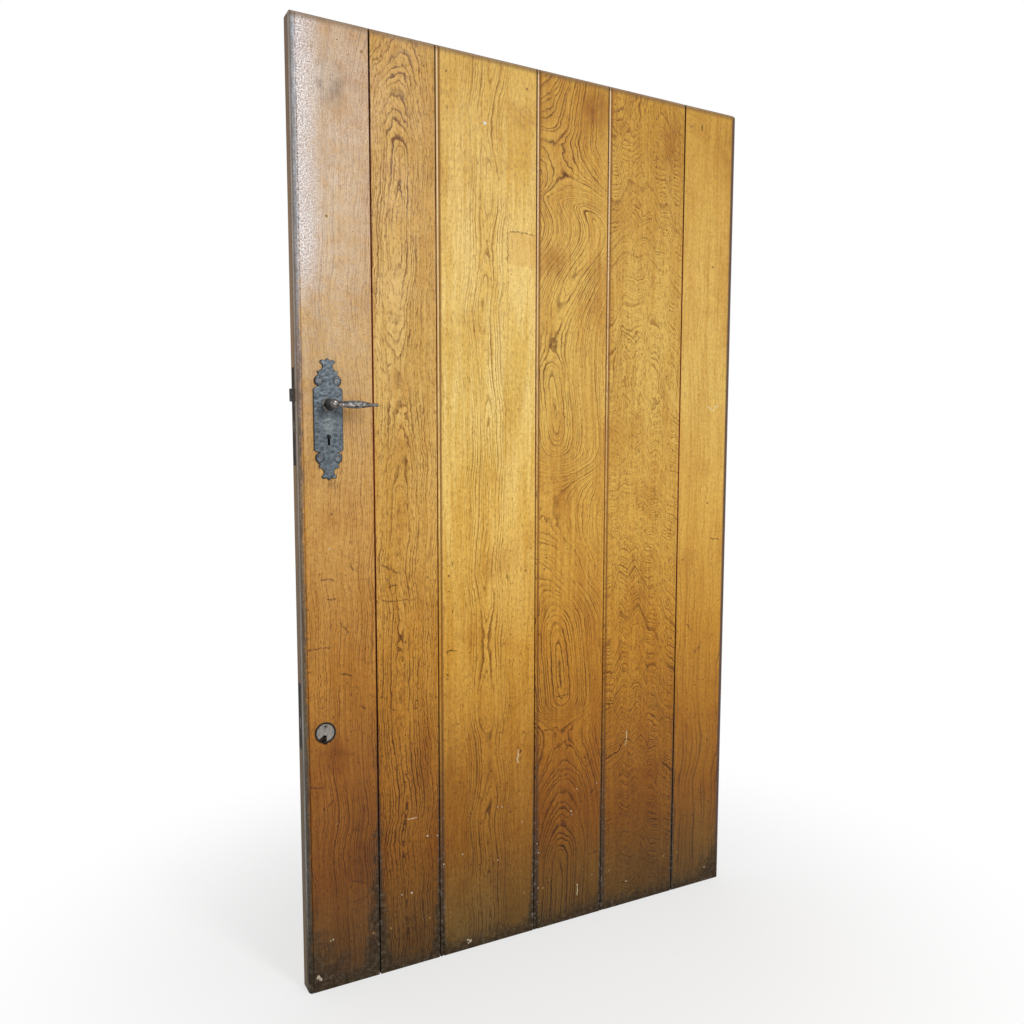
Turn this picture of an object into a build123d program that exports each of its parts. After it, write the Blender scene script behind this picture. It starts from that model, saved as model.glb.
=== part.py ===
"""Oak plank door leaf: six upright boards nailed to a framed back, two mortise locks, forged lever handles
and lift-off hinge halves. Millimetres, +Z up, front face towards -Y, closing edge at -X. The origin is the
middle of the bottom edge."""
import os
from build123d import *

os.makedirs("parts", exist_ok=True)

# Cuts run this far past the faces they open
overrun = 2.0

# Leaf and its boards, from the closing edge to the hanging edge
leaf_width = 1120.0
leaf_height = 2000.0
board_thickness = 20.0
frame_thickness = 25.0
joint_shares = [0.14018, 0.26830, 0.48616, 0.65714, 0.85625]
plain_gap = 3.6
beaded_gap = 2.6
tongue_thickness = 6.0
tongue_length = 8.0
groove_room = 0.3
bead_radius = 3.0
quirk_width = 4.0
arris_radius = 7.5
arris_quirk_width = 3.0
arris_quirk_depth = 2.0
top_chamfer = 6.0
corner_clip = 8.0

# Framed back
stile_width = 130.0
top_rail_height = 100.0
middle_rail_height = 150.0
bottom_rail_height = 200.0
middle_rail_share = 0.4608
tenon_thickness = 9.0
tenon_length = 75.0
tenon_shoulder = 20.0
mortise_room = 1.0
peg_radius = 5.0
peg_sides = 8
peg_inset = 12.0

# Cut nails that hold the boards to the frame
nail_head = 5.0
nail_head_depth = 1.5
nail_shank = 3.0
nail_length = 38.0
nail_inset = 24.0
shoulder_nail_inset = 12.0

# Main mortise lock, set out from the spindle
spindle_backset = 61.0
spindle_height = 1247.5
key_drop = 65.0
case_thickness = 13.0
case_wall = 2.0
cover_thickness = 1.5
case_depth = 100.0
case_top_rise = 41.0
case_bottom_drop = 33.0
case_room = 0.4
forend_thickness = 3.0
forend_width = 20.0
forend_length = 198.0
forend_drop = 24.5
forend_screw_inset = 9.0
bolt_play = 0.4
spindle_side = 8.0
spindle_room = 0.1
follower_radius = 10.0
journal_radius = 8.5
journal_room = 0.06
arm_reach = 15.0
arm_width = 6.0
arm_room = 0.4
latch_projection = 7.0
latch_travel = 8.0
latch_head_length = 28.0
latch_head_height = 26.0
latch_head_rise = 6.0
latch_tail_height = 12.0
latch_tail_past = 18.0
latch_tab_width = 8.0
latch_tab_rise = 11.0
latch_bevel_share = 0.65
latch_stud_radius = 2.0
latch_stud_before = 14.0
stud_room = 0.3
bolt_throw = 14.0
bolt_rise = 8.0
bolt_head_length = 27.0
bolt_head_height = 24.0
bolt_tail_height = 14.0
bolt_tail_past = 34.0
bolt_stud_radius = 2.5
talon_width = 13.0
talon_depth = 6.0
spring_thickness = 0.8
spring_width = 6.0
spring_bow = 7.0
spring_foot = 9.0
key_bow_radius = 4.75
key_slot_width = 5.0
key_slot_reach = 17.0
case_key_room = 0.6
keyway_width = 13.0
keyway_height = 34.0
post_radius = 3.5
post_inset = 8.0

# Lower mortise lock and its round roses
lower_backset = 43.5
rose_height = 566.0
lower_forend_length = 142.0
lower_forend_rise = 34.0
lower_case_depth = 80.0
lower_case_height = 104.0
rose_ring_radius = 22.5
rose_disc_radius = 19.0
rose_ring_room = 0.4
rose_recess = 2.5
rose_ring_proud = 1.6
rose_disc_proud = 0.9
rose_edge_round = 0.7
rose_pin_radius = 1.7
rose_dimple_radius = 4.6
rose_dimple_depth = 1.4
rose_pin_rise = 13.6
rose_mouth_shares = [(-0.18, -0.22), (0.13, -0.33), (0.13, -1.2), (-0.95, -0.95), (-0.72, -0.62)]

# Forged handle plates: half width, half height, and the outline as shares of them
plate_half_width = 30.5
plate_half_height = 124.0
plate_thickness = 4.0
plate_drop = 30.0
plate_edge = 0.7
plate_corner_round = 1.0
bearing_room = 0.3
plate_screw_side = 18.3
plate_screw_rise = 78.0
body_end_share = (1.0, 0.468)
body_corner_share = (0.97, 0.502)
body_shoulder_share = (0.86, 0.521)
notch_share = (0.64, 0.544)
lobe_foot_share = (0.83, 0.566)
lobe_side_share = (0.92, 0.629)
lobe_head_share = (0.83, 0.690)
lobe_notch_share = (0.63, 0.735)
wing_share = (0.73, 0.785)
wing_hollow_share = (0.46, 0.808)
neck_share = (0.345, 0.851)
neck_hollow_share = (0.385, 0.893)
crown_tip_share = (0.53, 0.930)
crown_bulge_share = (0.40, 0.968)
crown_cusp_share = (0.21, 0.956)

# Forged lever: a round neck, and a bar of eight sides that swells and tapers
lever_gap = 0.3
spigot_radius = 8.0
flange_radius = 13.5
flange_depth = 2.5
neck_radius = 9.5
neck_flare = 11.0
neck_length = 41.0
dome_height = 8.5
dome_mid_share = 0.78
dome_flat_share = 0.3
bar_start = 3.0
bar_length = 90.0
bar_station_shares = [0.0, 0.16, 0.45, 0.74, 1.0]
bar_half_height = 8.0
bar_height_shares = [0.80, 0.78, 1.0, 0.66, 0.47]
bar_half_depth = 6.6
bar_depth_shares = [0.85, 0.82, 1.0, 0.72, 0.56]
bar_facet_share = 0.42
socket_depth = 29.0
spindle_end_room = 1.0
pin_radius = 2.0
pin_room = 0.1
pin_out = 16.0
pin_sink = 1.3

# Lift-off hinge halves on the hanging edge
hinge_length = 70.0
hinge_bottom_rise = 230.0
hinge_top_drop = 220.0
hinge_flap_thickness = 3.0
hinge_flap_margin = 2.0
knuckle_radius = 8.0
knuckle_bore_radius = 5.0
knuckle_gap = 0.3
hinge_screw_step = 23.0

# Screws: head radius, head depth, shank radius, length
plate_screw = (4.3, 2.6, 2.0, 21.0)
forend_screw = (3.6, 2.0, 1.75, 22.0)
hinge_screw = (4.0, 2.2, 2.0, 30.0)
cover_screw = (2.3, 1.0, 1.2, 6.5)
screw_room = 0.1
screw_slot_share = 0.28
screw_slot_depth_share = 0.45

# Planes and edges of the leaf
closing_x = -leaf_width / 2
hanging_x = leaf_width / 2
front_y = -(board_thickness + frame_thickness) / 2
seam_y = front_y + board_thickness
back_y = seam_y + frame_thickness
lock_y = seam_y + frame_thickness / 2

# Board faces: each joint's place, and half of its gap on either side
joint_gaps = [plain_gap, beaded_gap, beaded_gap, beaded_gap, plain_gap]
joint_places = [closing_x + leaf_width * share for share in joint_shares]
face_starts = [closing_x] + [place + gap / 2 for place, gap in zip(joint_places, joint_gaps)]
face_ends = [place - gap / 2 for place, gap in zip(joint_places, joint_gaps)] + [hanging_x]
left_joints = ["edge", "plain", "bead", "bead", "bead", "plain"]
tongue_front = front_y + (board_thickness - tongue_thickness) / 2
tongue_back = tongue_front + tongue_thickness

# Rails, from lowest to highest edge, the middle one between the two locks, and the stiles' inner edges
middle_rail_mid = rose_height + (spindle_height - rose_height) * middle_rail_share
rails = {
    "bottom_rail": (0, bottom_rail_height),
    "middle_rail": (middle_rail_mid - middle_rail_height / 2, middle_rail_mid + middle_rail_height / 2),
    "top_rail": (leaf_height - top_rail_height, leaf_height),
}
closing_shoulder = closing_x + stile_width
hanging_shoulder = hanging_x - stile_width
tenon_span = (lock_y - tenon_thickness / 2, lock_y + tenon_thickness / 2)

# Lock places
spindle_x = closing_x + spindle_backset
key_height = spindle_height - key_drop
lower_key_x = closing_x + lower_backset
case_x = closing_x + forend_thickness
case_front = lock_y - case_thickness / 2
case_back = lock_y + case_thickness / 2
cavity_front = case_front + case_wall
cavity_back = case_back - cover_thickness
inner_span = (cavity_front + bolt_play, cavity_back - bolt_play)
forend_mid = spindle_height - forend_drop
plate_mid = spindle_height - plate_drop
lower_forend_mid = rose_height + lower_forend_rise
main_case = (key_height - case_bottom_drop, spindle_height + case_top_rise)
lower_case = (lower_forend_mid - lower_case_height / 2, lower_forend_mid + lower_case_height / 2)
latch_low = spindle_height + latch_head_rise
latch_high = latch_low + latch_head_height
bolt_span = (key_height + bolt_rise, key_height + bolt_rise + bolt_head_height)
case_post_heights = {main_case: (bolt_span[1] + latch_low) / 2, lower_case: lower_case[1] - post_inset}
hinge_places = {
    "hinge_bottom": hinge_bottom_rise,
    "hinge_middle": leaf_height / 2,
    "hinge_top": leaf_height - hinge_top_drop,
}


def save(piece, name):
    """Label a finished piece and write it under its own name."""
    piece.part.label = name
    export_step(piece.part, f"parts/{name}.step")


def upright(y):
    """Plane across the leaf at depth y, seen from the front: local x is +X and local y is +Z."""
    return Plane(origin=(0, y, 0), x_dir=(1, 0, 0), z_dir=(0, -1, 0))


def block(x, y, z, mode=Mode.ADD):
    """Box between two limits along each axis."""
    with Locations(((x[0] + x[1]) / 2, (y[0] + y[1]) / 2, (z[0] + z[1]) / 2)):
        Box(x[1] - x[0], y[1] - y[0], z[1] - z[0], mode=mode)


def screw(at, out, size, room=0, mode=Mode.ADD):
    """Countersunk screw with its head's face at a point, or the hole that takes it."""
    head_radius, head_depth, shank_radius, length = size
    ends = (Align.CENTER, Align.CENTER, Align.MAX)
    with Locations(Plane(origin=at, z_dir=out)):
        Cylinder(shank_radius + room, length + room, align=ends, mode=mode)
        Cone(shank_radius + room, head_radius + room, head_depth, align=ends, mode=mode)
        if mode == Mode.ADD:
            slot_width = head_radius * screw_slot_share
            slot_depth = head_depth * screw_slot_depth_share
            Box(head_radius * 2 + overrun, slot_width, slot_depth, align=ends, mode=Mode.SUBTRACT)


def keyhole(x, z, room=0):
    """Keyhole outline: a round bow with a slot below it."""
    with Locations((x, z)):
        Circle(key_bow_radius + room)
    with Locations((x, z - key_slot_reach / 2)):
        Rectangle(key_slot_width + room * 2, key_slot_reach)


def keyway(x, z, y):
    """Slot through the wood that clears a turning key, between two depths."""
    with BuildSketch(upright(y[0])) as profile:
        with Locations((x, z - key_slot_reach / 2)):
            SlotOverall(keyway_height, keyway_width, rotation=90)
    extrude(profile.sketch, amount=y[0] - y[1], mode=Mode.SUBTRACT)


# Stretches of the stiles with no rail, lock or handle plate in them
free_stretches = [
    (rails["bottom_rail"][1], lower_forend_mid - lower_forend_length / 2),
    (rails["middle_rail"][1], plate_mid - plate_half_height),
    (plate_mid + plate_half_height, rails["top_rail"][0]),
]

# Nails: two in each inner board at each rail, and in the outer boards one at each rail and some up the stile
nail_places = []
for start, end in zip(face_starts[1:-1], face_ends[1:-1]):
    for low, high in rails.values():
        for x in (start + nail_inset, end - nail_inset):
            nail_places.append((x, (low + high) / 2))
for low, high in free_stretches:
    nail_places.append((closing_x + stile_width / 2, (low + high) / 2))
    nail_places.append((hanging_x - stile_width / 2, (low + high) / 2))
for low, high in rails.values():
    nail_places.append((closing_shoulder + shoulder_nail_inset, (low + high) / 2))
    nail_places.append((hanging_shoulder - shoulder_nail_inset, (low + high) / 2))


def nails_within(x, z):
    """The nails that enter a piece between these limits."""
    return [place for place in nail_places if x[0] < place[0] < x[1] and z[0] < place[1] < z[1]]


def nail_shanks(places, y, length, mode):
    """Square shanks, or their holes, from depth y inwards."""
    with BuildSketch(upright(y)) as profile:
        with Locations(*places):
            Rectangle(nail_shank, nail_shank)
    extrude(profile.sketch, amount=-length, mode=mode)


def nail_heads(places, mode):
    """Square heads flush with the face, or the recesses that hold them."""
    with BuildSketch(upright(front_y)) as profile:
        with Locations(*places):
            Rectangle(nail_head, nail_head)
    extrude(profile.sketch, amount=-nail_head_depth, mode=mode)


def board_outline(start, end, left_joint, last):
    """Section of one board: grooved, beaded or rounded at its left, tongued or rounded at its right."""
    groove = [(start, tongue_back + groove_room), (start + tongue_length, tongue_back + groove_room),
              (start + tongue_length, tongue_front - groove_room), (start, tongue_front - groove_room)]
    if left_joint == "edge":
        rounded = CenterArc((start + arris_radius, front_y + arris_radius), arris_radius, 180, 90)
        quirk = [rounded @ 1, rounded @ 1 + Vector(arris_quirk_width / 2, arris_quirk_depth),
                 rounded @ 1 + Vector(arris_quirk_width, 0)]
        Polyline((start, seam_y), rounded @ 0)
        face_start = Polyline(*quirk) @ 1
    elif left_joint == "bead":
        bead = CenterArc((start + bead_radius, front_y + bead_radius), bead_radius, 180, 180)
        Polyline((start, seam_y), *groove, bead @ 0)
        face_start = Polyline(bead @ 1, (start + bead_radius * 2 + quirk_width, front_y)) @ 1
    else:
        face_start = Polyline((start, seam_y), *groove, (start, front_y)) @ 1
    if last:
        rounded_end = CenterArc((end - arris_radius, front_y + arris_radius), arris_radius, 270, 90)
        Line(face_start, rounded_end @ 0)
        Polyline(rounded_end @ 1, (end, seam_y), (start, seam_y))
    else:
        tip = end + tongue_length
        Polyline(face_start, (end, front_y), (end, tongue_front), (tip, tongue_front), (tip, tongue_back),
                 (end, tongue_back), (end, seam_y), (start, seam_y))


def clip_corner(y):
    """Cut the worn top corner of the hanging side between two depths."""
    with BuildSketch(upright(y[0])) as profile:
        with BuildLine():
            Polyline((hanging_x - corner_clip - overrun, leaf_height + overrun),
                     (hanging_x + overrun, leaf_height - corner_clip - overrun),
                     (hanging_x + overrun, leaf_height + overrun), close=True)
        make_face()
    extrude(profile.sketch, amount=y[0] - y[1], mode=Mode.SUBTRACT)


# Boards, with the holes for handles, locks and nails
for count, (start, end) in enumerate(zip(face_starts, face_ends)):
    first, last = count == 0, count == len(face_starts) - 1
    with BuildPart() as board:
        with BuildSketch():
            with BuildLine():
                board_outline(start, end, left_joints[count], last)
            make_face()
        extrude(amount=leaf_height)
        # Chamfer along the top of the face
        with BuildSketch(Plane.YZ.offset(start - overrun)):
            with BuildLine():
                Polyline((front_y - overrun, leaf_height - top_chamfer - overrun),
                         (front_y + top_chamfer + overrun, leaf_height + overrun),
                         (front_y - overrun, leaf_height + overrun), close=True)
            make_face()
        extrude(amount=end - start + tongue_length + overrun * 2, mode=Mode.SUBTRACT)
        places = nails_within((start, end), (0, leaf_height))
        nail_heads(places, Mode.SUBTRACT)
        nail_shanks(places, front_y, board_thickness, Mode.SUBTRACT)
        if first:
            with BuildSketch(upright(front_y)):
                with Locations((spindle_x, spindle_height)):
                    Circle(follower_radius)
            extrude(amount=-board_thickness, mode=Mode.SUBTRACT)
            keyway(spindle_x, key_height, (front_y, seam_y))
            keyway(lower_key_x, rose_height, (front_y, seam_y))
            with BuildSketch(upright(front_y)):
                with Locations((lower_key_x, rose_height)):
                    Circle(rose_ring_radius)
            extrude(amount=-rose_recess, mode=Mode.SUBTRACT)
            for side in (-1, 1):
                for rise in (-plate_screw_rise, plate_screw_rise):
                    at = (spindle_x + side * plate_screw_side, front_y - plate_thickness, plate_mid + rise)
                    screw(at, (0, -1, 0), plate_screw, screw_room, Mode.SUBTRACT)
        if last:
            clip_corner((front_y - overrun, seam_y + overrun))
    save(board, f"board_{count + 1}")

with BuildPart() as board_nails:
    nail_heads(nail_places, Mode.ADD)
    nail_shanks(nail_places, front_y, nail_length, Mode.ADD)
save(board_nails, "board_nails")

# Pegs through each tenon
peg_places = []
for low, high in rails.values():
    for z in (low + tenon_shoulder + peg_inset, high - tenon_shoulder - peg_inset):
        peg_places.append((closing_shoulder - tenon_length / 2, z))
        peg_places.append((hanging_shoulder + tenon_length / 2, z))


def pegs(places, mode):
    """Eight-sided pegs, or their holes, through the frame."""
    with BuildSketch(upright(seam_y)) as profile:
        with Locations(*places):
            RegularPolygon(peg_radius, peg_sides)
    extrude(profile.sketch, amount=-frame_thickness, mode=mode)


with BuildPart() as frame_pegs:
    pegs(peg_places, Mode.ADD)
save(frame_pegs, "frame_pegs")

# Rails with their tenons
for name, (low, high) in rails.items():
    with BuildPart() as rail:
        block((closing_shoulder, hanging_shoulder), (seam_y, back_y), (low, high))
        block((closing_shoulder - tenon_length, hanging_shoulder + tenon_length), tenon_span,
              (low + tenon_shoulder, high - tenon_shoulder))
        pegs([place for place in peg_places if low < place[1] < high], Mode.SUBTRACT)
        shanks = nails_within((closing_shoulder, hanging_shoulder), (low, high))
        nail_shanks(shanks, seam_y, nail_length - board_thickness, Mode.SUBTRACT)
    save(rail, name)


def stile(low_x, high_x, mortise_x):
    """Upright of the frame with its mortises, peg holes and nail holes."""
    block((low_x, high_x), (seam_y, back_y), (0, leaf_height))
    for low, high in rails.values():
        block(mortise_x, tenon_span, (low + tenon_shoulder, high - tenon_shoulder), Mode.SUBTRACT)
    pegs([place for place in peg_places if low_x < place[0] < high_x], Mode.SUBTRACT)
    shanks = nails_within((low_x, high_x), (0, leaf_height))
    nail_shanks(shanks, seam_y, nail_length - board_thickness, Mode.SUBTRACT)


def lock_mortise(case, depth, forend, forend_span):
    """Pocket in the closing edge for a lock case, its forend and the forend's screws."""
    block((closing_x, case_x + depth + case_room), (case_front - case_room, case_back + case_room),
          (case[0] - case_room, case[1] + case_room), Mode.SUBTRACT)
    block((closing_x, case_x), (lock_y - forend_width / 2, lock_y + forend_width / 2),
          (forend - forend_span / 2, forend + forend_span / 2), Mode.SUBTRACT)
    for at in forend_screw_places(forend, forend_span):
        screw(at, (-1, 0, 0), forend_screw, screw_room, Mode.SUBTRACT)


def forend_screw_places(forend, forend_span):
    """Screw heads near the two ends of a forend."""
    reach = forend_span / 2 - forend_screw_inset
    return [(closing_x, lock_y, forend - reach), (closing_x, lock_y, forend + reach)]


with BuildPart() as closing_stile:
    stile(closing_x, closing_shoulder,
          (closing_shoulder - tenon_length - mortise_room, closing_shoulder))
    lock_mortise(main_case, case_depth, forend_mid, forend_length)
    lock_mortise(lower_case, lower_case_depth, lower_forend_mid, lower_forend_length)
    with BuildSketch(upright(seam_y)):
        with Locations((spindle_x, spindle_height)):
            Circle(follower_radius)
    extrude(amount=-frame_thickness, mode=Mode.SUBTRACT)
    keyway(spindle_x, key_height, (seam_y, back_y))
    keyway(lower_key_x, rose_height, (seam_y, back_y))
    with BuildSketch(upright(back_y)):
        with Locations((lower_key_x, rose_height)):
            Circle(rose_ring_radius)
    extrude(amount=rose_recess, mode=Mode.SUBTRACT)
    for side in (-1, 1):
        for rise in (-plate_screw_rise, plate_screw_rise):
            at = (spindle_x + side * plate_screw_side, back_y + plate_thickness, plate_mid + rise)
            screw(at, (0, 1, 0), plate_screw, screw_room, Mode.SUBTRACT)
save(closing_stile, "closing_stile")

# Hinge screws sit in a row up the middle of each flap
flap_front = seam_y + hinge_flap_margin
flap_mid = (flap_front + back_y) / 2
hinge_screw_places = [
    (hanging_x, flap_mid, place + step)
    for place in hinge_places.values()
    for step in (-hinge_screw_step, 0, hinge_screw_step)
]

with BuildPart() as hanging_stile:
    stile(hanging_shoulder, hanging_x,
          (hanging_shoulder, hanging_shoulder + tenon_length + mortise_room))
    clip_corner((seam_y - overrun, back_y + overrun))
    for place in hinge_places.values():
        block((hanging_x - hinge_flap_thickness, hanging_x), (flap_front, back_y),
              (place - hinge_length / 2, place + hinge_length / 2), Mode.SUBTRACT)
    for at in hinge_screw_places:
        screw(at, (1, 0, 0), hinge_screw, screw_room, Mode.SUBTRACT)
save(hanging_stile, "hanging_stile")

# Hinge halves: a flap let into the edge, rolled into a knuckle behind the leaf
knuckle_y = back_y + knuckle_radius + knuckle_gap
for name, place in hinge_places.items():
    low, high = place - hinge_length / 2, place + hinge_length / 2
    with BuildPart() as hinge:
        block((hanging_x - hinge_flap_thickness, hanging_x), (flap_front, knuckle_y), (low, high))
        with BuildSketch(Plane.XY.offset(low)):
            with Locations((hanging_x, knuckle_y)):
                Circle(knuckle_radius)
        extrude(amount=hinge_length)
        with BuildSketch(Plane.XY.offset(low)):
            with Locations((hanging_x, knuckle_y)):
                Circle(knuckle_bore_radius)
        extrude(amount=hinge_length, mode=Mode.SUBTRACT)
        for at in hinge_screw_places:
            if low < at[2] < high:
                screw(at, (1, 0, 0), hinge_screw, screw_room, Mode.SUBTRACT)
    save(hinge, name)

with BuildPart() as hinge_screws:
    for at in hinge_screw_places:
        screw(at, (1, 0, 0), hinge_screw)
save(hinge_screws, "hinge_screws")


def cover_screw_places(case, depth):
    """Two posts near the floor of a lock case and one behind the forend, at the cover's face."""
    low, high = case[0] + post_inset, case_post_heights[case]
    near, far = case_x + post_inset, case_x + depth - post_inset
    return [(near, case_back, low), (far, case_back, low), (near, case_back, high)]


def case_tray(case, depth, key, studs):
    """Lock case: a floor and three walls, open to the forend, with cover posts and guide studs."""
    block((case_x, case_x + depth), (case_front, cavity_back), case)
    block((case_x - overrun, case_x + depth - case_wall), (cavity_front, cavity_back + overrun),
          (case[0] + case_wall, case[1] - case_wall), Mode.SUBTRACT)
    for x, _, z in cover_screw_places(case, depth):
        with BuildSketch(upright(cavity_front)) as profile:
            with Locations((x, z)):
                Circle(post_radius)
        extrude(profile.sketch, amount=cavity_front - cavity_back)
    for x, z, radius in studs:
        with BuildSketch(upright(cavity_front)) as profile:
            with Locations((x, z)):
                Circle(radius)
        extrude(profile.sketch, amount=cavity_front - cavity_back)
    for at in cover_screw_places(case, depth):
        screw(at, (0, 1, 0), cover_screw, screw_room, Mode.SUBTRACT)
    with BuildSketch(upright(case_front)) as profile:
        keyhole(*key, room=case_key_room)
    extrude(profile.sketch, amount=case_front - cavity_front, mode=Mode.SUBTRACT)


def case_lid(case, depth, key):
    """Cover that closes a lock case."""
    block((case_x, case_x + depth), (cavity_back, case_back), case)
    for at in cover_screw_places(case, depth):
        screw(at, (0, 1, 0), cover_screw, screw_room, Mode.SUBTRACT)
    with BuildSketch(upright(cavity_back)) as profile:
        keyhole(*key, room=case_key_room)
    extrude(profile.sketch, amount=-cover_thickness, mode=Mode.SUBTRACT)


def journal_hole(y):
    """Bearing for the follower in a case wall between two depths."""
    with BuildSketch(upright(y[0])) as profile:
        with Locations((spindle_x, spindle_height)):
            Circle(journal_radius + journal_room)
    extrude(profile.sketch, amount=y[0] - y[1], mode=Mode.SUBTRACT)


def forend(middle, length, mouths):
    """Face plate of a lock, with mouths for its bolts and countersunk screw holes."""
    block((closing_x, case_x), (lock_y - forend_width / 2, lock_y + forend_width / 2),
          (middle - length / 2, middle + length / 2))
    for low, high in mouths:
        block((closing_x - overrun, case_x + overrun),
              (inner_span[0] - bolt_play, inner_span[1] + bolt_play),
              (low - bolt_play, high + bolt_play), Mode.SUBTRACT)
    for at in forend_screw_places(middle, length):
        screw(at, (-1, 0, 0), forend_screw, screw_room, Mode.SUBTRACT)


def bolt(key):
    """Deadbolt: a head flush with the forend, a tail with a notch for the key and a guide slot."""
    x, z = key
    low = z + bolt_rise
    tail_top = low + bolt_tail_height
    head_top = low + bolt_head_height
    head_end = closing_x + bolt_head_length
    with BuildSketch(upright(inner_span[0])) as profile:
        with BuildLine():
            Polyline((closing_x, low), (x - talon_width / 2, low), (x - talon_width / 2, low + talon_depth),
                     (x + talon_width / 2, low + talon_depth), (x + talon_width / 2, low),
                     (x + bolt_tail_past, low), (x + bolt_tail_past, tail_top), (head_end, tail_top),
                     (head_end, head_top), (closing_x, head_top), close=True)
        make_face()
        slot_width = (bolt_stud_radius + stud_room) * 2
        stud_x, stud_z, _ = bolt_stud(key)
        with Locations((stud_x + bolt_throw / 2, stud_z)):
            SlotOverall(bolt_throw + slot_width, slot_width, mode=Mode.SUBTRACT)
    extrude(profile.sketch, amount=inner_span[0] - inner_span[1])


def bolt_stud(key):
    """Guide stud of a deadbolt, beyond the notch, at the tail's mid height."""
    x = key[0] + talon_width / 2 + bolt_stud_radius * 2
    return (x, key[1] + bolt_rise + bolt_tail_height / 2, bolt_stud_radius)


def leaf_spring(key):
    """Bowed leaf on top of a deadbolt's tail that holds it where the key leaves it."""
    foot_x = closing_x + bolt_head_length
    end_x = key[0] + bolt_tail_past
    z = key[1] + bolt_rise + bolt_tail_height + spring_thickness / 2
    with BuildSketch(upright(lock_y - spring_width / 2)) as profile:
        with BuildLine():
            foot = Line((foot_x, z), (foot_x + spring_foot, z))
            ThreePointArc(foot @ 1, ((foot_x + spring_foot + end_x) / 2, z + spring_bow), (end_x, z))
        trace(line_width=spring_thickness)
    extrude(profile.sketch, amount=-spring_width)


# Main lock
main_key = (spindle_x, key_height)
latch_tail_low = latch_high - latch_tail_height
latch_stud = (spindle_x - latch_stud_before, latch_high - latch_tail_height / 2, latch_stud_radius)
latch_tail_end = spindle_x + latch_tail_past

with BuildPart() as lock_case:
    case_tray(main_case, case_depth, main_key, [latch_stud, bolt_stud(main_key)])
    journal_hole((case_front, cavity_front))
save(lock_case, "lock_case")

with BuildPart() as lock_cover:
    case_lid(main_case, case_depth, main_key)
    journal_hole((cavity_back, case_back))
save(lock_cover, "lock_cover")

with BuildPart() as lock_forend:
    forend(forend_mid, forend_length, [(latch_low, latch_high), bolt_span])
save(lock_forend, "lock_forend")

# Follower: a hub on two journals, with a square eye and an arm that pushes the latch back
with BuildPart() as follower:
    with BuildSketch(upright(case_front)):
        with Locations((spindle_x, spindle_height)):
            Circle(journal_radius)
    extrude(amount=-case_thickness)
    with BuildSketch(upright(inner_span[0])):
        with Locations((spindle_x, spindle_height)):
            Circle(follower_radius)
        with Locations((spindle_x, spindle_height + arm_reach / 2)):
            SlotOverall(arm_reach + arm_width, arm_width, rotation=90)
    extrude(amount=inner_span[0] - inner_span[1])
    with BuildSketch(upright(case_front)):
        with Locations((spindle_x, spindle_height)):
            Rectangle(spindle_side + spindle_room * 2, spindle_side + spindle_room * 2)
    extrude(amount=-case_thickness, mode=Mode.SUBTRACT)
save(follower, "follower")

# Latch bolt: bevelled head, slotted tail, and a tab behind the follower's arm
with BuildPart() as latch_bolt:
    tip = closing_x - latch_projection
    head_end = closing_x + latch_head_length
    tab = spindle_x + arm_width / 2 + arm_room
    with BuildSketch(upright(inner_span[0])):
        with BuildLine():
            Polyline((tip, latch_low), (head_end, latch_low), (head_end, latch_tail_low),
                     (tab, latch_tail_low), (tab, spindle_height + latch_tab_rise),
                     (tab + latch_tab_width, spindle_height + latch_tab_rise),
                     (tab + latch_tab_width, latch_tail_low), (latch_tail_end, latch_tail_low),
                     (latch_tail_end, latch_high), (tip, latch_high), close=True)
        make_face()
        slot_width = (latch_stud_radius + stud_room) * 2
        with Locations((latch_stud[0] - latch_travel / 2, latch_stud[1])):
            SlotOverall(latch_travel + slot_width, slot_width, mode=Mode.SUBTRACT)
    extrude(amount=inner_span[0] - inner_span[1])
    # The bevel faces the front, where the leaf meets its frame as it closes
    bevel = (inner_span[1] - inner_span[0]) * latch_bevel_share
    with BuildSketch(Plane.XY.offset(latch_low)):
        with BuildLine():
            Polyline((tip, inner_span[0]), (closing_x, inner_span[0]),
                     (tip, inner_span[0] + bevel), close=True)
        make_face()
    extrude(amount=latch_head_height, mode=Mode.SUBTRACT)
save(latch_bolt, "latch_bolt")

# Latch spring: a folded leaf between the latch's tail and the back of the case
with BuildPart() as latch_spring:
    wall_x = case_x + case_depth - case_wall
    fold = ((latch_tail_end + wall_x) / 2, main_case[1] - case_wall - spring_thickness * 2)
    with BuildSketch(upright(lock_y - spring_width / 2)):
        with BuildLine():
            Polyline((latch_tail_end + spring_thickness, latch_stud[1]), fold,
                     (wall_x - spring_thickness, latch_tail_low))
        trace(line_width=spring_thickness)
    extrude(amount=-spring_width)
save(latch_spring, "latch_spring")

with BuildPart() as deadbolt:
    bolt(main_key)
save(deadbolt, "deadbolt")

with BuildPart() as deadbolt_spring:
    leaf_spring(main_key)
save(deadbolt_spring, "deadbolt_spring")

with BuildPart() as lock_cover_screws:
    for at in cover_screw_places(main_case, case_depth):
        screw(at, (0, 1, 0), cover_screw)
save(lock_cover_screws, "lock_cover_screws")

# Lower lock
lower_key = (lower_key_x, rose_height)
lower_bolt_span = (rose_height + bolt_rise, rose_height + bolt_rise + bolt_head_height)

with BuildPart() as lower_lock_case:
    case_tray(lower_case, lower_case_depth, lower_key, [bolt_stud(lower_key)])
save(lower_lock_case, "lower_lock_case")

with BuildPart() as lower_lock_cover:
    case_lid(lower_case, lower_case_depth, lower_key)
save(lower_lock_cover, "lower_lock_cover")

with BuildPart() as lower_forend:
    forend(lower_forend_mid, lower_forend_length, [lower_bolt_span])
save(lower_forend, "lower_forend")

with BuildPart() as lower_bolt:
    bolt(lower_key)
save(lower_bolt, "lower_bolt")

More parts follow.
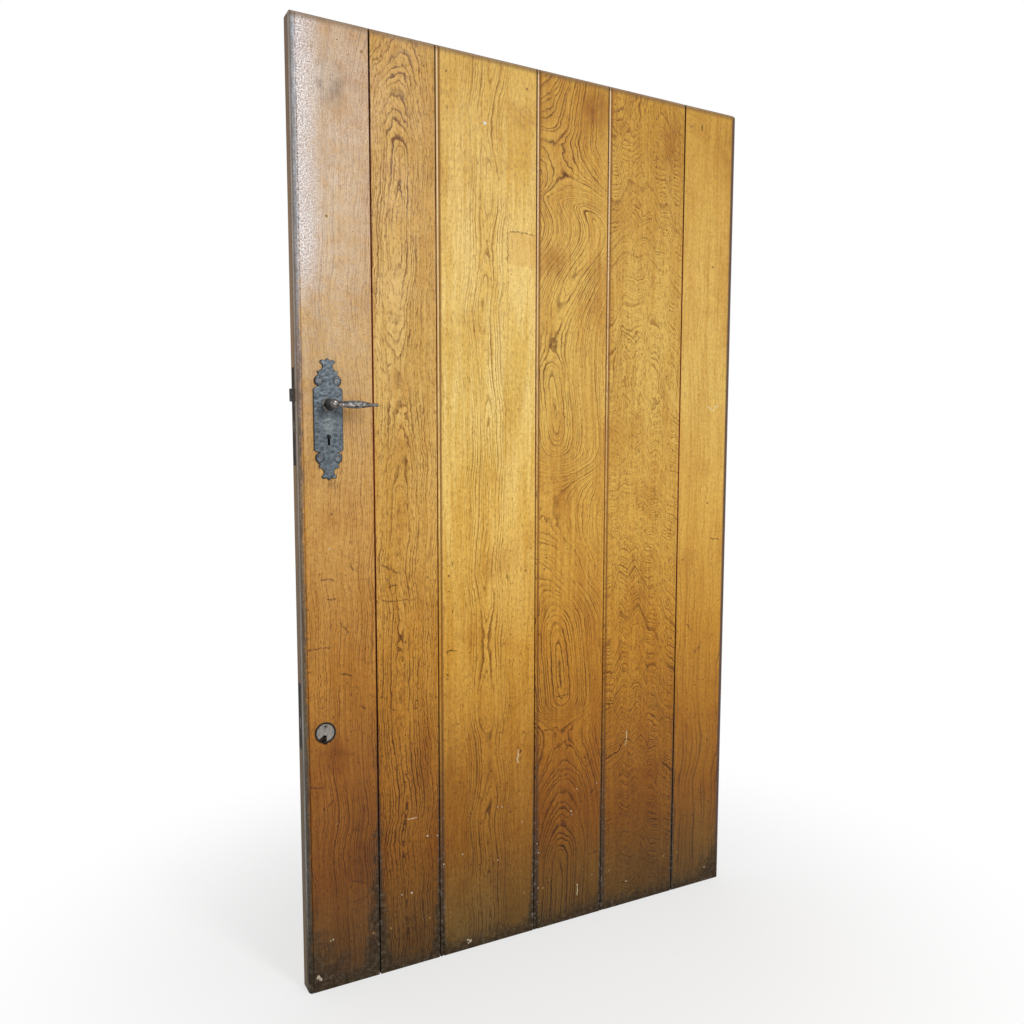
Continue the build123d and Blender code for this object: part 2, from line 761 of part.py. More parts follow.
with BuildPart() as lower_bolt_spring:
    leaf_spring(lower_key)
save(lower_bolt_spring, "lower_bolt_spring")

with BuildPart() as lower_cover_screws:
    for at in cover_screw_places(lower_case, lower_case_depth):
        screw(at, (0, 1, 0), cover_screw)
save(lower_cover_screws, "lower_cover_screws")

with BuildPart() as forend_screws:
    for middle, length in ((forend_mid, forend_length), (lower_forend_mid, lower_forend_length)):
        for at in forend_screw_places(middle, length):
            screw(at, (-1, 0, 0), forend_screw)
save(forend_screws, "forend_screws")

# Roses, plates and levers stand on both faces: the way out of each face, and its plane
faces = {"front": (-1, front_y), "back": (1, back_y)}

for side_name, (out, face_y) in faces.items():
    floor_y = face_y - out * rose_recess
    centre = (lower_key_x, rose_height)
    pin_centre = (lower_key_x, rose_height + rose_pin_rise)

    with BuildPart() as rose_ring:
        with BuildSketch(upright(floor_y)):
            with Locations(centre):
                Circle(rose_ring_radius)
                Circle(rose_disc_radius + rose_ring_room, mode=Mode.SUBTRACT)
        extrude(amount=-out * (rose_recess + rose_ring_proud))
        rim = rose_ring.faces().sort_by(Axis.Y)[0 if out < 0 else -1]
        fillet(rim.edges(), rose_edge_round)
    save(rose_ring, f"{side_name}_rose_ring")

    with BuildPart() as rose_disc:
        with BuildSketch(upright(floor_y)):
            with Locations(centre):
                Circle(rose_disc_radius)
        extrude(amount=-out * (rose_recess + rose_disc_proud))
        rim = rose_disc.faces().sort_by(Axis.Y)[0 if out < 0 else -1]
        fillet(rim.edges(), rose_edge_round)
        disc_face = face_y + out * rose_disc_proud
        with BuildSketch(upright(disc_face)):
            with Locations(centre):
                Polygon(*[(x * rose_disc_radius, z * rose_disc_radius) for x, z in rose_mouth_shares],
                        align=None)
            with Locations(pin_centre):
                Circle(rose_pin_radius)
        extrude(amount=out * (rose_recess + rose_disc_proud), mode=Mode.SUBTRACT)
        with BuildSketch(upright(disc_face)):
            with Locations(pin_centre):
                Circle(rose_dimple_radius)
        extrude(amount=out * rose_dimple_depth, mode=Mode.SUBTRACT)
    save(rose_disc, f"{side_name}_rose_disc")

    with BuildPart() as rose_pin:
        with BuildSketch(upright(floor_y)):
            with Locations(pin_centre):
                Circle(rose_pin_radius)
        extrude(amount=-out * (rose_recess + rose_disc_proud))
    save(rose_pin, f"{side_name}_rose_pin")


def plate_point(share):
    """A point of the plate's outline from its shares of the half width and half height."""
    return (share[0] * plate_half_width, share[1] * plate_half_height)


def plate_quarter():
    """One quarter of the plate's outline: straight side, notched lobe, wing, waist and fishtail crown."""
    side = Line((plate_half_width, 0), plate_point(body_end_share))
    ThreePointArc(side @ 1, plate_point(body_corner_share), plate_point(body_shoulder_share))
    Polyline(plate_point(body_shoulder_share), plate_point(notch_share), plate_point(lobe_foot_share))
    ThreePointArc(plate_point(lobe_foot_share), plate_point(lobe_side_share), plate_point(lobe_head_share))
    Polyline(plate_point(lobe_head_share), plate_point(lobe_notch_share), plate_point(wing_share))
    ThreePointArc(plate_point(wing_share), plate_point(wing_hollow_share), plate_point(neck_share))
    ThreePointArc(plate_point(neck_share), plate_point(neck_hollow_share), plate_point(crown_tip_share))
    ThreePointArc(plate_point(crown_tip_share), plate_point(crown_bulge_share), plate_point(crown_cusp_share))
    Line(plate_point(crown_cusp_share), (0, plate_half_height))


def plate_screw_places(out, face_y):
    """Screw heads in the four lobes of a plate."""
    y = face_y + out * plate_thickness
    sides = (-plate_screw_side, plate_screw_side)
    rises = (-plate_screw_rise, plate_screw_rise)
    return [(spindle_x + side, y, plate_mid + rise) for side in sides for rise in rises]


for side_name, (out, face_y) in faces.items():
    with BuildPart() as plate:
        plate_plane = Plane(origin=(spindle_x, face_y, plate_mid), x_dir=(1, 0, 0), z_dir=(0, -1, 0))
        with BuildSketch(plate_plane) as plate_sketch:
            with BuildLine():
                plate_quarter()
                mirror(about=Plane.XZ)
                mirror(about=Plane.YZ)
            make_face()
            fillet(plate_sketch.vertices(), plate_corner_round)
        extrude(amount=-out * plate_thickness)
        show_face = plate.faces().sort_by(Axis.Y)[0 if out < 0 else -1]
        chamfer(show_face.edges(), plate_edge)
        with BuildSketch(upright(face_y)):
            with Locations((spindle_x, spindle_height)):
                Circle(spigot_radius + bearing_room)
            keyhole(spindle_x, key_height)
        extrude(amount=-out * plate_thickness, mode=Mode.SUBTRACT)
        for at in plate_screw_places(out, face_y):
            screw(at, (0, out, 0), plate_screw, screw_room, Mode.SUBTRACT)
    save(plate, f"{side_name}_plate")

with BuildPart() as plate_screws:
    for out, face_y in faces.values():
        for at in plate_screw_places(out, face_y):
            screw(at, (0, out, 0), plate_screw)
save(plate_screws, "plate_screws")


def neck_profile(out, face_y):
    """Half section of a lever's neck: spigot, flange, flare, straight neck and rounded end."""
    start_y = face_y + out * (plate_thickness + lever_gap)
    foot_y = face_y + out * lever_gap
    flange_y = start_y + out * flange_depth
    flare_y = start_y + out * (flange_depth + neck_flare)
    end_y = start_y + out * neck_length
    hollow = ((flange_radius + neck_radius * 3) / 4, (flange_y * 2 + flare_y) / 3)
    flare = ThreePointArc((flange_radius, flange_y), hollow, (neck_radius, flare_y))
    dome_mid = (neck_radius * dome_mid_share, end_y + out * dome_height * dome_mid_share)
    dome_y = end_y + out * dome_height
    dome = ThreePointArc((neck_radius, end_y), dome_mid, (neck_radius * dome_flat_share, dome_y))
    Line(flare @ 1, dome @ 0)
    Polyline(dome @ 1, (0, dome_y), (0, foot_y), (spigot_radius, foot_y),
             (spigot_radius, start_y), (flange_radius, start_y), flare @ 0)


def bar_section(half_depth, half_height):
    """Eight-sided section of the lever's bar."""
    facet = bar_facet_share
    corners = [(1, facet), (facet, 1), (-facet, 1), (-1, facet),
               (-1, -facet), (-facet, -1), (facet, -1), (1, -facet)]
    Polygon(*[(y * half_depth, z * half_height) for y, z in corners], align=None)


for side_name, (out, face_y) in faces.items():
    bar_y = face_y + out * (plate_thickness + lever_gap + neck_length)
    pin_y = face_y + out * (plate_thickness + lever_gap + pin_out)
    socket_y = face_y + out * lever_gap
    with BuildPart() as lever:
        with BuildSketch(Plane(origin=(spindle_x, 0, spindle_height), x_dir=(1, 0, 0), z_dir=(0, 0, 1))):
            with BuildLine():
                neck_profile(out, face_y)
            make_face()
        revolve(axis=Axis((spindle_x, 0, spindle_height), (0, 1, 0)))
        for station, depth, height in zip(bar_station_shares, bar_depth_shares, bar_height_shares):
            x = spindle_x + bar_start + (bar_length - bar_start) * station
            with BuildSketch(Plane(origin=(x, bar_y, spindle_height), x_dir=(0, 1, 0), z_dir=(1, 0, 0))):
                bar_section(bar_half_depth * depth, bar_half_height * height)
        loft()
        with BuildSketch(upright(socket_y)):
            with Locations((spindle_x, spindle_height)):
                Rectangle(spindle_side + spindle_room * 2, spindle_side + spindle_room * 2)
        extrude(amount=-out * (plate_thickness + socket_depth), mode=Mode.SUBTRACT)
        with Locations(Plane(origin=(spindle_x, pin_y, spindle_height), z_dir=(1, 0, 0))):
            Cylinder(pin_radius + pin_room, (neck_radius + overrun) * 2, mode=Mode.SUBTRACT)
    save(lever, f"{side_name}_lever")

# Spindle through both levers and the follower, cross-pinned to the necks
spindle_reach = plate_thickness + lever_gap + socket_depth - spindle_end_room
pin_places = [face_y + out * (plate_thickness + lever_gap + pin_out) for out, face_y in faces.values()]

with BuildPart() as spindle:
    block((spindle_x - spindle_side / 2, spindle_x + spindle_side / 2),
          (front_y - spindle_reach, back_y + spindle_reach),
          (spindle_height - spindle_side / 2, spindle_height + spindle_side / 2))
    for y in pin_places:
        with Locations(Plane(origin=(spindle_x, y, spindle_height), z_dir=(1, 0, 0))):
            Cylinder(pin_radius + pin_room, spindle_side + overrun, mode=Mode.SUBTRACT)
save(spindle, "spindle")

with BuildPart() as lever_pins:
    for y in pin_places:
        with Locations(Plane(origin=(spindle_x, y, spindle_height), z_dir=(1, 0, 0))):
            Cylinder(pin_radius, (neck_radius - pin_sink) * 2)
save(lever_pins, "lever_pins")
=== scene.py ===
"""An old oak plank door leaf: six varnished boards nailed to a framed back, with forged iron lever handles,
two mortise locks and lift-off hinge halves. Metres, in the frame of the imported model."""
from functools import partial
import bpy
import numpy as np
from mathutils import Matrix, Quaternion, Vector


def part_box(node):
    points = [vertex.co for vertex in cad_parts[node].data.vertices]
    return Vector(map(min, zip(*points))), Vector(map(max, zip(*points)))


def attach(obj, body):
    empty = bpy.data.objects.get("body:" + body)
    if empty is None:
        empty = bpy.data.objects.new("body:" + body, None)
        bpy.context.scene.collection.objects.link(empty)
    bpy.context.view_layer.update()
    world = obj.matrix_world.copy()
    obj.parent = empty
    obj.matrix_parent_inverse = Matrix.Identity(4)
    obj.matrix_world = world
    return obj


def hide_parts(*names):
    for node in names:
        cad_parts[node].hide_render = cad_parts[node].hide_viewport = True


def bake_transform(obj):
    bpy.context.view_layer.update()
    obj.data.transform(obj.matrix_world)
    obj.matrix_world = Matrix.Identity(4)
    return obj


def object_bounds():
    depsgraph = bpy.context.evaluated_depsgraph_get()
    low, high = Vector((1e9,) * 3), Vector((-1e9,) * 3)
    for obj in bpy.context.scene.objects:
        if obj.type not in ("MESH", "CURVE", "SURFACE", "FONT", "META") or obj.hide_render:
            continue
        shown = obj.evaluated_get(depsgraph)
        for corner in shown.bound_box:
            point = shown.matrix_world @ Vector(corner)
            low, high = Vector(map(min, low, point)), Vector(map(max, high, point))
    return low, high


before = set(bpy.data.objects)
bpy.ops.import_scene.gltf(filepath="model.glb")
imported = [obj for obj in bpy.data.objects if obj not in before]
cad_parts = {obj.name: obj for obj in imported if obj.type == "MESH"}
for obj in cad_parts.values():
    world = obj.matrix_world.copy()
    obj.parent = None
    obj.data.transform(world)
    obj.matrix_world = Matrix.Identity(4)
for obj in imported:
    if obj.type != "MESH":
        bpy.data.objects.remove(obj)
cad_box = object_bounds()

# Framed back: two oak stiles and three rails, mortised together, planed and given one coat of dark varnish.
# Nothing has worn it, so it is even and plain, with straight grain along each piece.
MM = 0.001
back_oak = {"light": "#B58A4E", "deep": "#8F6532", "grain": "#6B4420", "pore": "#4A2C12"}
# Axis that each piece runs along, 0 for x and 2 for z, and the place of the tree's heart across it
back_pieces = {
    "closing_stile": (2, -500.0), "hanging_stile": (2, 505.0),
    "top_rail": (0, 1962.0), "middle_rail": (0, 862.0), "bottom_rail": (0, 120.0),
}


def linear(code):
    """The linear colour of an sRGB hex code, by the sRGB curve."""
    channels = [int(code[place:place + 2], 16) / 255 for place in (1, 3, 5)]
    return [c / 12.92 if c <= 0.04045 else ((c + 0.055) / 1.055) ** 2.4 for c in channels] + [1.0]


def add(tree, kind, *inputs, stops=(), curve=(), **settings):
    """Add a shader node with its settings and its colour stops or curve points. Its inputs are values, hex
    codes, sockets or nodes: one dictionary by name, or else in the order of the sockets it has in use."""
    node = tree.nodes.new("ShaderNode" + kind)
    for key, value in settings.items():
        setattr(node, key, value)
    for count, (place, code) in enumerate(stops):
        elements = node.color_ramp.elements
        element = elements[count] if count < 2 else elements.new(place)
        element.position = place
        element.color = linear(code)
    for count, point in enumerate(curve):
        points = node.mapping.curves[0].points
        knot = points[count] if count < 2 else points.new(*point)
        knot.location = point
    if curve:
        node.mapping.update()
    if inputs and isinstance(inputs[0], dict):
        wanted = [(node.inputs[key], value) for key, value in inputs[0].items()]
    else:
        wanted = list(zip([socket for socket in node.inputs if socket.enabled], inputs))
    for socket, value in wanted:
        if isinstance(value, bpy.types.Node):
            value = next(output for output in value.outputs if output.enabled)
        if isinstance(value, bpy.types.NodeSocket):
            tree.links.new(value, socket)
        else:
            socket.default_value = linear(value) if isinstance(value, str) else value
    return node


def blank_material(name):
    """An empty node material, and the add function for its tree."""
    material = bpy.data.materials.new(name)
    material.use_nodes = True
    material.node_tree.nodes.clear()
    return material, partial(add, material.node_tree)


def millimetres(node):
    """Object coordinates in millimetres, whole and as x, y and z."""
    place = node("TexCoord").outputs["Object"]
    scaled = node("VectorMath", place, 1 / MM, operation="SCALE")
    return scaled, node("SeparateXYZ", scaled).outputs


def by_height(node, along, pairs, low, high):
    """The value of a smooth curve through pairs of height and value, all between two bounds."""
    foot, head = pairs[0][0], pairs[-1][0]
    share = node("MapRange", along, foot, head)
    points = [((height - foot) / (head - foot), (value - low) / (high - low)) for height, value in pairs]
    curve = node("FloatCurve", {"Value": share}, curve=[points[0], points[-1]] + points[1:-1])
    return node("MapRange", curve, 0, 1, low, high)


def grain_noise(node, place, width, length, detail, rough=0.5):
    """Noise in patches of one width across the grain and another length along it."""
    stretched = node("VectorMath", place, (1 / width, 1 / width, 1 / length), operation="MULTIPLY")
    return node("TexNoise", stretched, 1.0, detail, rough)


def apart(node, value, middle):
    """How far a value lies from a middle, either way."""
    offset = node("Math", value, middle, operation="SUBTRACT")
    return node("Math", offset, operation="ABSOLUTE")


def oak_figure(node, axes, heart, depths, ring, ragged=1.0, wild=4.0, zigzag=0.0, waves=0.0, focus=None):
    """A place in the plank, and three masks from 0 to 1 of its growth: dark lines, pale edges and pores.

    A ring is a cylinder about the tree's heart, which runs along the plank. Curves give the heart's place
    across the plank and its depth behind the face by height. The ring's number is the distance to the heart
    over the ring's width, uneven from year to year. Long noise (wild), short noise (ragged) and flat noise
    (waves) warp it, and curly grain adds a zigzag that climbs the plank. Each ring starts with a thin dark
    line of pores that fades outwards, and has a pale edge before the next. Pores are streaks along the grain,
    drawn four times as wide as real ones so that they show. The focus is a middle, a half width and the share
    of the rings that is left outside it."""
    across, inward, along = axes
    depth = by_height(node, along, depths, 0.0, DEPTH_SPAN)
    hearts = heart if isinstance(heart, list) else [(0.0, heart), (LEAF_HEIGHT, heart)]
    wander = 10.0 if isinstance(heart, list) else 26.0
    place = node("CombineXYZ", across, inward, along)
    sway = node("TexNoise", along, 1 / SWAY_LENGTH, 1.0, noise_dimensions="1D")
    sway = node("MapRange", sway, 0, 1, -wander, wander)
    middle = by_height(node, along, hearts, -HEART_SPAN, HEART_SPAN)
    sway = node("Math", middle, sway, operation="ADD")
    beside = node("Math", across, sway, operation="SUBTRACT")
    behind = node("Math", inward, FRONT, operation="SUBTRACT")
    behind = node("Math", depth, behind, operation="SUBTRACT")
    spoke = node("CombineXYZ", beside, behind)
    radius = node("VectorMath", spoke, operation="LENGTH")
    if zigzag:
        curl = node("TexNoise", place, 1 / CURL_SIZE, 1.0)
        curl = node("Math", curl, CURL_REACH, beside, operation="MULTIPLY_ADD")
        fold = node("Math", curl, FOLD_WIDTH, operation="PINGPONG")
        radius = node("Math", fold, zigzag, radius, operation="MULTIPLY_ADD")
        radius = node("Math", along, FOLD_CLIMB, radius, operation="MULTIPLY_ADD")
    warps = [(42, 120, wild), (13, 17, ragged)] + ([(60, 24, waves)] if waves else [])
    for width, length, amount in warps:
        warp = grain_noise(node, place, width, length, 2.0)
        warp = node("MapRange", warp, 0, 1, -amount * 2, amount * 2)
        radius = node("Math", radius, warp, operation="ADD")
    number = node("Math", radius, 1 / ring, operation="MULTIPLY")
    uneven = node("TexNoise", number, 0.45, 1.0, noise_dimensions="1D")
    number = node("Math", uneven, YEAR_SPREAD, number, operation="MULTIPLY_ADD")
    phase = node("Math", number, operation="FRACT")
    fade = node("MapRange", phase, 0.08, 0.42, 1.0, 0.0, interpolation_type="SMOOTHSTEP")
    start = node("MapRange", phase, 0.0, 0.08)
    rings = node("Math", fade, start, operation="MULTIPLY")
    pale = node("MapRange", phase, 0.55, 0.95, interpolation_type="SMOOTHSTEP")
    patchy = grain_noise(node, place, 40, 110, 4.0, 0.6)
    patchy = node("MapRange", patchy, 0.36, 0.6, 0.1, 1.0)
    if focus:
        middle, half, outside = focus
        away = node("MapRange", apart(node, across, middle), half, half + FOCUS_FADE, 1.0, outside)
        patchy = node("Math", patchy, away, operation="MULTIPLY")
    rings = node("Math", rings, patchy, operation="MULTIPLY")
    pale = node("Math", pale, patchy, operation="MULTIPLY")
    streaks = grain_noise(node, place, 2.6, 11, 1.5)
    streaks = node("MapRange", streaks, 0.54, 0.68, interpolation_type="SMOOTHSTEP")
    share = node("Math", rings, 0.5, 0.5, operation="MULTIPLY_ADD")
    pores = node("Math", streaks, share, operation="MULTIPLY")
    return place, rings, pale, pores


def oak_colour(node, figure, colours, bold, ticks):
    """Oak under varnish: broad clouds and streaks of two tones, darkened along the rings and in the pores."""
    place, rings, pale, pores = figure
    tone = 0.0
    for width, length in ((60, 260), (7, 190)):
        cloud = grain_noise(node, place, width, length, 3.0)
        tone = node("Math", cloud, 0.5, tone, operation="MULTIPLY_ADD")
    tone = node("MapRange", tone, 0.38, 0.62, interpolation_type="SMOOTHSTEP")
    tone = node("Math", pale, 0.5, tone, operation="MULTIPLY_ADD")
    colour = node("Mix", tone, colours["deep"], colours["light"], data_type="RGBA")
    mottle = node("TexNoise", place, 1 / 120, 3.0, 0.6)
    mottle = node("MapRange", mottle, 0.52, 0.7, 0.0, 0.3, interpolation_type="SMOOTHSTEP")
    colour = node("Mix", mottle, colour, "#D0AE84", data_type="RGBA", blend_type="MULTIPLY")
    amount = node("Math", rings, bold, operation="MULTIPLY")
    colour = node("Mix", amount, colour, colours["grain"], data_type="RGBA")
    amount = node("Math", pores, ticks, operation="MULTIPLY")
    return node("Mix", amount, colour, colours["pore"], data_type="RGBA")


def dress(finish, *nodes):
    """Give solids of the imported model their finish."""
    for name in nodes:
        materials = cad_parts[name].data.materials
        materials.clear()
        materials.append(finish)


LEAF_HEIGHT = cad_box[1].z / MM
DEPTH_SPAN, HEART_SPAN, FOCUS_FADE = 200.0, 2000.0, 35.0
SWAY_LENGTH, YEAR_SPREAD, PORE_DEPTH = 260, 2.4, 0.4 * MM
CURL_SIZE, CURL_REACH, FOLD_WIDTH, FOLD_CLIMB = 130, 60.0, 27.0, 0.55
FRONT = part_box("board_2")[0].y / MM
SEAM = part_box("board_2")[1].y / MM
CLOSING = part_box("board_1")[0].x / MM

for name, (length_axis, heart) in back_pieces.items():
    back_finish, node = blank_material(f"varnished_oak_{name}")
    _, (x, y, z) = millimetres(node)
    axes = (x, y, z) if length_axis == 2 else (z, y, x)
    figure = oak_figure(node, axes, heart, [(-600, 40), (300, 55), (2000, 45)], 7.0)
    *_, pores = figure
    colour = oak_colour(node, figure, back_oak, 0.45, 0.7)
    if name == "closing_stile":
        # Its outer edge has lost its varnish: brown, grey with dirt low down, black in the joint
        edge = node("MapRange", x, CLOSING + 0.5, CLOSING + 2.5, 1.0, 0.0)
        share = node("Math", z, 1 / LEAF_HEIGHT, operation="MULTIPLY")
        bare = node("ValToRGB", share, stops=[
            (0.0, "#4A4030"), (1.0, "#6A4E34"), (0.3, "#5C4E3A"), (0.55, "#866640"), (0.7, "#9A764A")])
        amount = node("Math", edge, 0.8, operation="MULTIPLY")
        colour = node("Mix", amount, colour, bare, data_type="RGBA")
        seam = node("MapRange", y, SEAM + 0.6, SEAM + 2.4, 0.95, 0.0)
        seam = node("Math", seam, edge, operation="MULTIPLY")
        colour = node("Mix", seam, colour, "#140E08", data_type="RGBA")
    relief = node("Bump", {"Height": pores, "Strength": 0.3, "Distance": PORE_DEPTH}, invert=True)
    shader = node("BsdfPrincipled", {
        "Base Color": colour, "Roughness": 0.5, "Specular IOR Level": 0.12, "Normal": relief})
    node("OutputMaterial", shader)
    dress(back_finish, name)

# Boards: six upright oak planks, tongued and grooved, the middle joints with a bead. They were stained golden
# and varnished long ago. The varnish has thickened and browned towards the foot, where dirt has settled. Part
# of the darkening towards the foot is painted shade, and painted light also marks the beads, the joints and
# the closing edge.
TONGUE = 8.0
BEAD_WIDTHS = {"edge": 0.0, "plain": 2.0, "bead": 9.0}
JOINT_RIMS = {"edge": 0.2, "plain": 0.6, "bead": 0.5}
BEAD_CROWN, SCRATCH_CORE, SCRATCH_EDGE, NICK_CELL, SKIN_DEPTH = 2.4, 0.6, 2.2, 26, 0.5 * MM
# Each board's colours, growth rings and left-hand joint. What a board doesn't say is as usual
USUAL = {"gloss": 0.18, "peel": 0.3}
boards = {
    "board_1": dict(
        colours={"light": "#D2A764", "deep": "#C09048", "grain": "#8E5E2A", "pore": "#845424"},
        heart=-372, ring=6.0, bold=0.95, ticks=0.7, ragged=1.4, peel=1.2, joint="edge", gloss=0.22,
        focus=(-470, 90, 0.5),
        depths=[(0, 10), (600, 14), (1000, 24), (1350, 20), (1640, 8), (1800, 26), (2000, 50)]),
    "board_2": dict(
        colours={"light": "#DEB669", "deep": "#CB9D4C", "grain": "#6E4218", "pore": "#744818"},
        heart=-346, ring=5.8, bold=1.0, ticks=0.95, ragged=1.8, peel=0.4, joint="plain",
        focus=(-358, 55, 0.7),
        depths=[(0, 3), (500, 5), (800, 8), (1000, 10), (1150, 24), (1300, 36), (1450, 20), (1600, 4),
                (1700, 8), (1860, 34), (1960, 62), (2000, 70)]),
    "board_3": dict(
        colours={"light": "#EFCF7E", "deep": "#DDB458", "grain": "#8E6020", "pore": "#8A5C20"},
        heart=-140, ring=6.0, bold=0.85, ticks=0.7, ragged=0.9, joint="bead",
        focus=(-140, 32, 0.25),
        depths=[(0, 4), (300, 6), (480, 26), (560, 10), (650, 20), (900, 6), (1200, 3), (1360, 14),
                (1480, 3), (1600, 16), (1720, 3), (1840, 16), (2000, 3)]),
    "board_4": dict(
        colours={"light": "#DEB55C", "deep": "#C99845", "grain": "#643A10", "pore": "#7E5020"},
        heart=[(0, 48), (560, 60), (700, 48), (790, 36), (860, 0), (1030, 8), (1110, 34), (1400, 32),
               (1540, 74), (1660, 146), (1740, 96), (1810, 40), (1900, -6), (2000, -22)],
        ring=6.5, bold=1.0, ticks=0.6, ragged=1.3, joint="bead", waves=0.9, wild=2.2,
        focus=(60, 80, 0.35),
        depths=[(0, 4), (140, 10), (230, 40), (330, 70), (430, 100), (480, 106), (540, 30), (600, 5),
                (660, 4), (720, 14), (790, 44), (900, 84), (1040, 139), (1110, 96), (1250, 4), (1340, 14),
                (1390, 32), (1540, 14), (1660, 4), (1720, 34), (1800, 121), (1890, 96), (2000, 54)]),
    "board_5": dict(
        colours={"light": "#DBB35C", "deep": "#CA9C48", "grain": "#7C4C14", "pore": "#7C4E18"},
        heart=262, ring=5.0, bold=0.75, ticks=0.95, ragged=2.0, joint="bead",
        zigzag=0.5,
        depths=[(0, 60), (500, 100), (900, 70), (1200, 140), (1294, 120), (1500, 60), (1700, 110),
                (2000, 60)]),
    "board_6": dict(
        colours={"light": "#DDB660", "deep": "#CFA350", "grain": "#AE7D34", "pore": "#966626"},
        heart=620, ring=11.0, bold=0.25, ticks=0.45, ragged=0.8, joint="plain",
        depths=[(0, 120), (1000, 150), (2000, 130)]),
}
# Scratches and dents in the varnish, each from one place to another across and up the leaf
scratches = [
    (-551, 745, -506, 747), (-516, 889, -495, 888), (-508, 846, -491, 848), (-482, 688, -459, 681),
    (-439, 613, -430, 605), (-458, 921, -452, 906), (-482, 796, -465, 776), (-547, 451, -522, 449),
    (-512, 407, -501, 416), (-465, 228, -432, 218), (-461, 182, -433, 186), (-390, 913, -348, 891),
    (-371, 865, -357, 869), (-389, 836, -314, 832), (-345, 711, -343, 700), (-242, 709, -215, 709),
    (-225, 910, -225, 899), (-225, 809, -225, 798), (-90, 873, -88, 863), (-243, 660, -235, 654),
    (-46, 497, -36, 490), (13, 492, 38, 490), (40, 569, 80, 572), (140, 486, 140, 468),
    (126, 408, 133, 399), (140, 314, 157, 322), (143, 153, 168, 160), (124, 801, 124, 793),
    (346, 322, 343, 302), (365, 110, 375, 94), (281, 837, 285, 829), (505, 932, 535, 928),
    (438, 708, 446, 695), (464, 634, 480, 649), (447, 196, 450, 193), (213, 1880, 214, 1878),
    (451, 1959, 451, 1945), (-232, 1879, -232, 1876), (-163, 1778, -162, 1774), (-75, 1620, -75, 1618),
    (-76, 1606, -75, 1604), (14, 1729, 15, 1727), (-48, 987, -48, 984), (56, 1600, 57, 1598),
    (-88, 1575, -88, 1639), (-82, 1640, -22, 1638),
]
pale_scrapes = [
    (488, 1274, 504, 1261), (504, 1261, 522, 1276), (-58, 455, -61, 427), (251, 455, 248, 419),
    (109, 86, 108, 58), (-335, 343, -314, 342),
]
# Stains, and two patches of painted shadow on board 1: middle across and up, half sizes, strength and tint
stains_and_shadows = [
    # Painted shadow: a grey patch in the sheen near the top of board 1, and a shadow under the tip of the
    # handle plate
    (-487, 1878, 50, 62, 0.9, "#9A917C"), (-491, 1084, 18, 13, 0.6, "#7A6450"),
    (-505, 515, 80, 60, 0.45, "#A87E54"), (-440, 330, 45, 210, 0.5, "#9A7E68"),
    (-300, 480, 45, 130, 0.4, "#B08A70"), (-225, 420, 28, 150, 0.35, "#A08468"),
    (140, 1935, 60, 75, 0.6, "#B98A58"), (20, 1585, 80, 55, 0.6, "#BC9064"),
    (150, 1580, 60, 50, 0.5, "#BC9064"), (145, 740, 50, 120, 0.5, "#BE8C50"),
    (360, 1900, 60, 90, 0.5, "#C09058"), (530, 1900, 60, 120, 0.4, "#C09A60"),
]
# A repair let into board 3, and painted shade on board 1 behind the keyhole and round the rose disc: middle
# and half sizes
PATCH_MIDDLE, PATCH_HALF = (-53.5, 1603.5, 0.0), (34.5, 35.5, 0.0)
HOLE_SHADE = (((-499, 1182), (22, 30)), ((-516.5, 566), (20.5, 20.5)))
# Floor dirt in the closing corner, from and to a place and a climb, and beside the joints and the hanging
# edge: place across, half width and climb
CORNER_DIRT = (-560, -450, 190, 42)
FOOT_DIRT = ((-408, 36, 420), (-262, 20, 260), (-18, 16, 220), (174, 12, 140), (560, 90, 120))
# Painted sheen by the closing edge: the heights where its haze and its flecks set in and are full. Then the
# bright and dark flecks of the painted sheen: where in the noise they start and are full, strength and tint
SHEEN_HAZE_CLIMB, SHEEN_FLECK_CLIMB = (1000, 1640), (1420, 1560)
SHEEN_FLECKS = ((0.49, 0.59, 0.9, "#FAF9FB"), (0.47, 0.37, 0.75, "#6B5D52"))


def scratched(node, spot, marks):
    """1 in the middle of each scratch and 0 beyond its half width, from the distance to the nearest point of
    the straight line between its ends."""
    total = None
    for x_from, z_from, x_to, z_to in marks:
        run = Vector((x_to - x_from, z_to - z_from, 0))
        offset = node("VectorMath", spot, (x_from, z_from, 0), operation="SUBTRACT")
        ahead = node("VectorMath", offset, run / run.length_squared, operation="DOT_PRODUCT")
        ahead = node("Clamp", ahead)
        nearest = node("VectorMath", run, ahead, operation="SCALE")
        offset = node("VectorMath", offset, nearest, operation="SUBTRACT")
        away = node("VectorMath", offset, operation="LENGTH")
        mark = node("MapRange", away, SCRATCH_CORE, SCRATCH_EDGE, 1.0, 0.0)
        if total is not None:
            mark = node("Math", mark, total, operation="MAXIMUM")
        total = mark
    return total


def blot(node, spot, middle, half, amount, soft=0.9):
    """An amount inside an ellipse of this middle and these half sizes, fading to 0 at its edge."""
    away = node("VectorMath", spot, (*middle, 0), operation="SUBTRACT")
    away = node("VectorMath", away, (1 / half[0], 1 / half[1], 0), operation="MULTIPLY")
    away = node("VectorMath", away, operation="LENGTH")
    return node("MapRange", away, 1 - soft, 1.0, amount, 0.0, interpolation_type="SMOOTHSTEP")


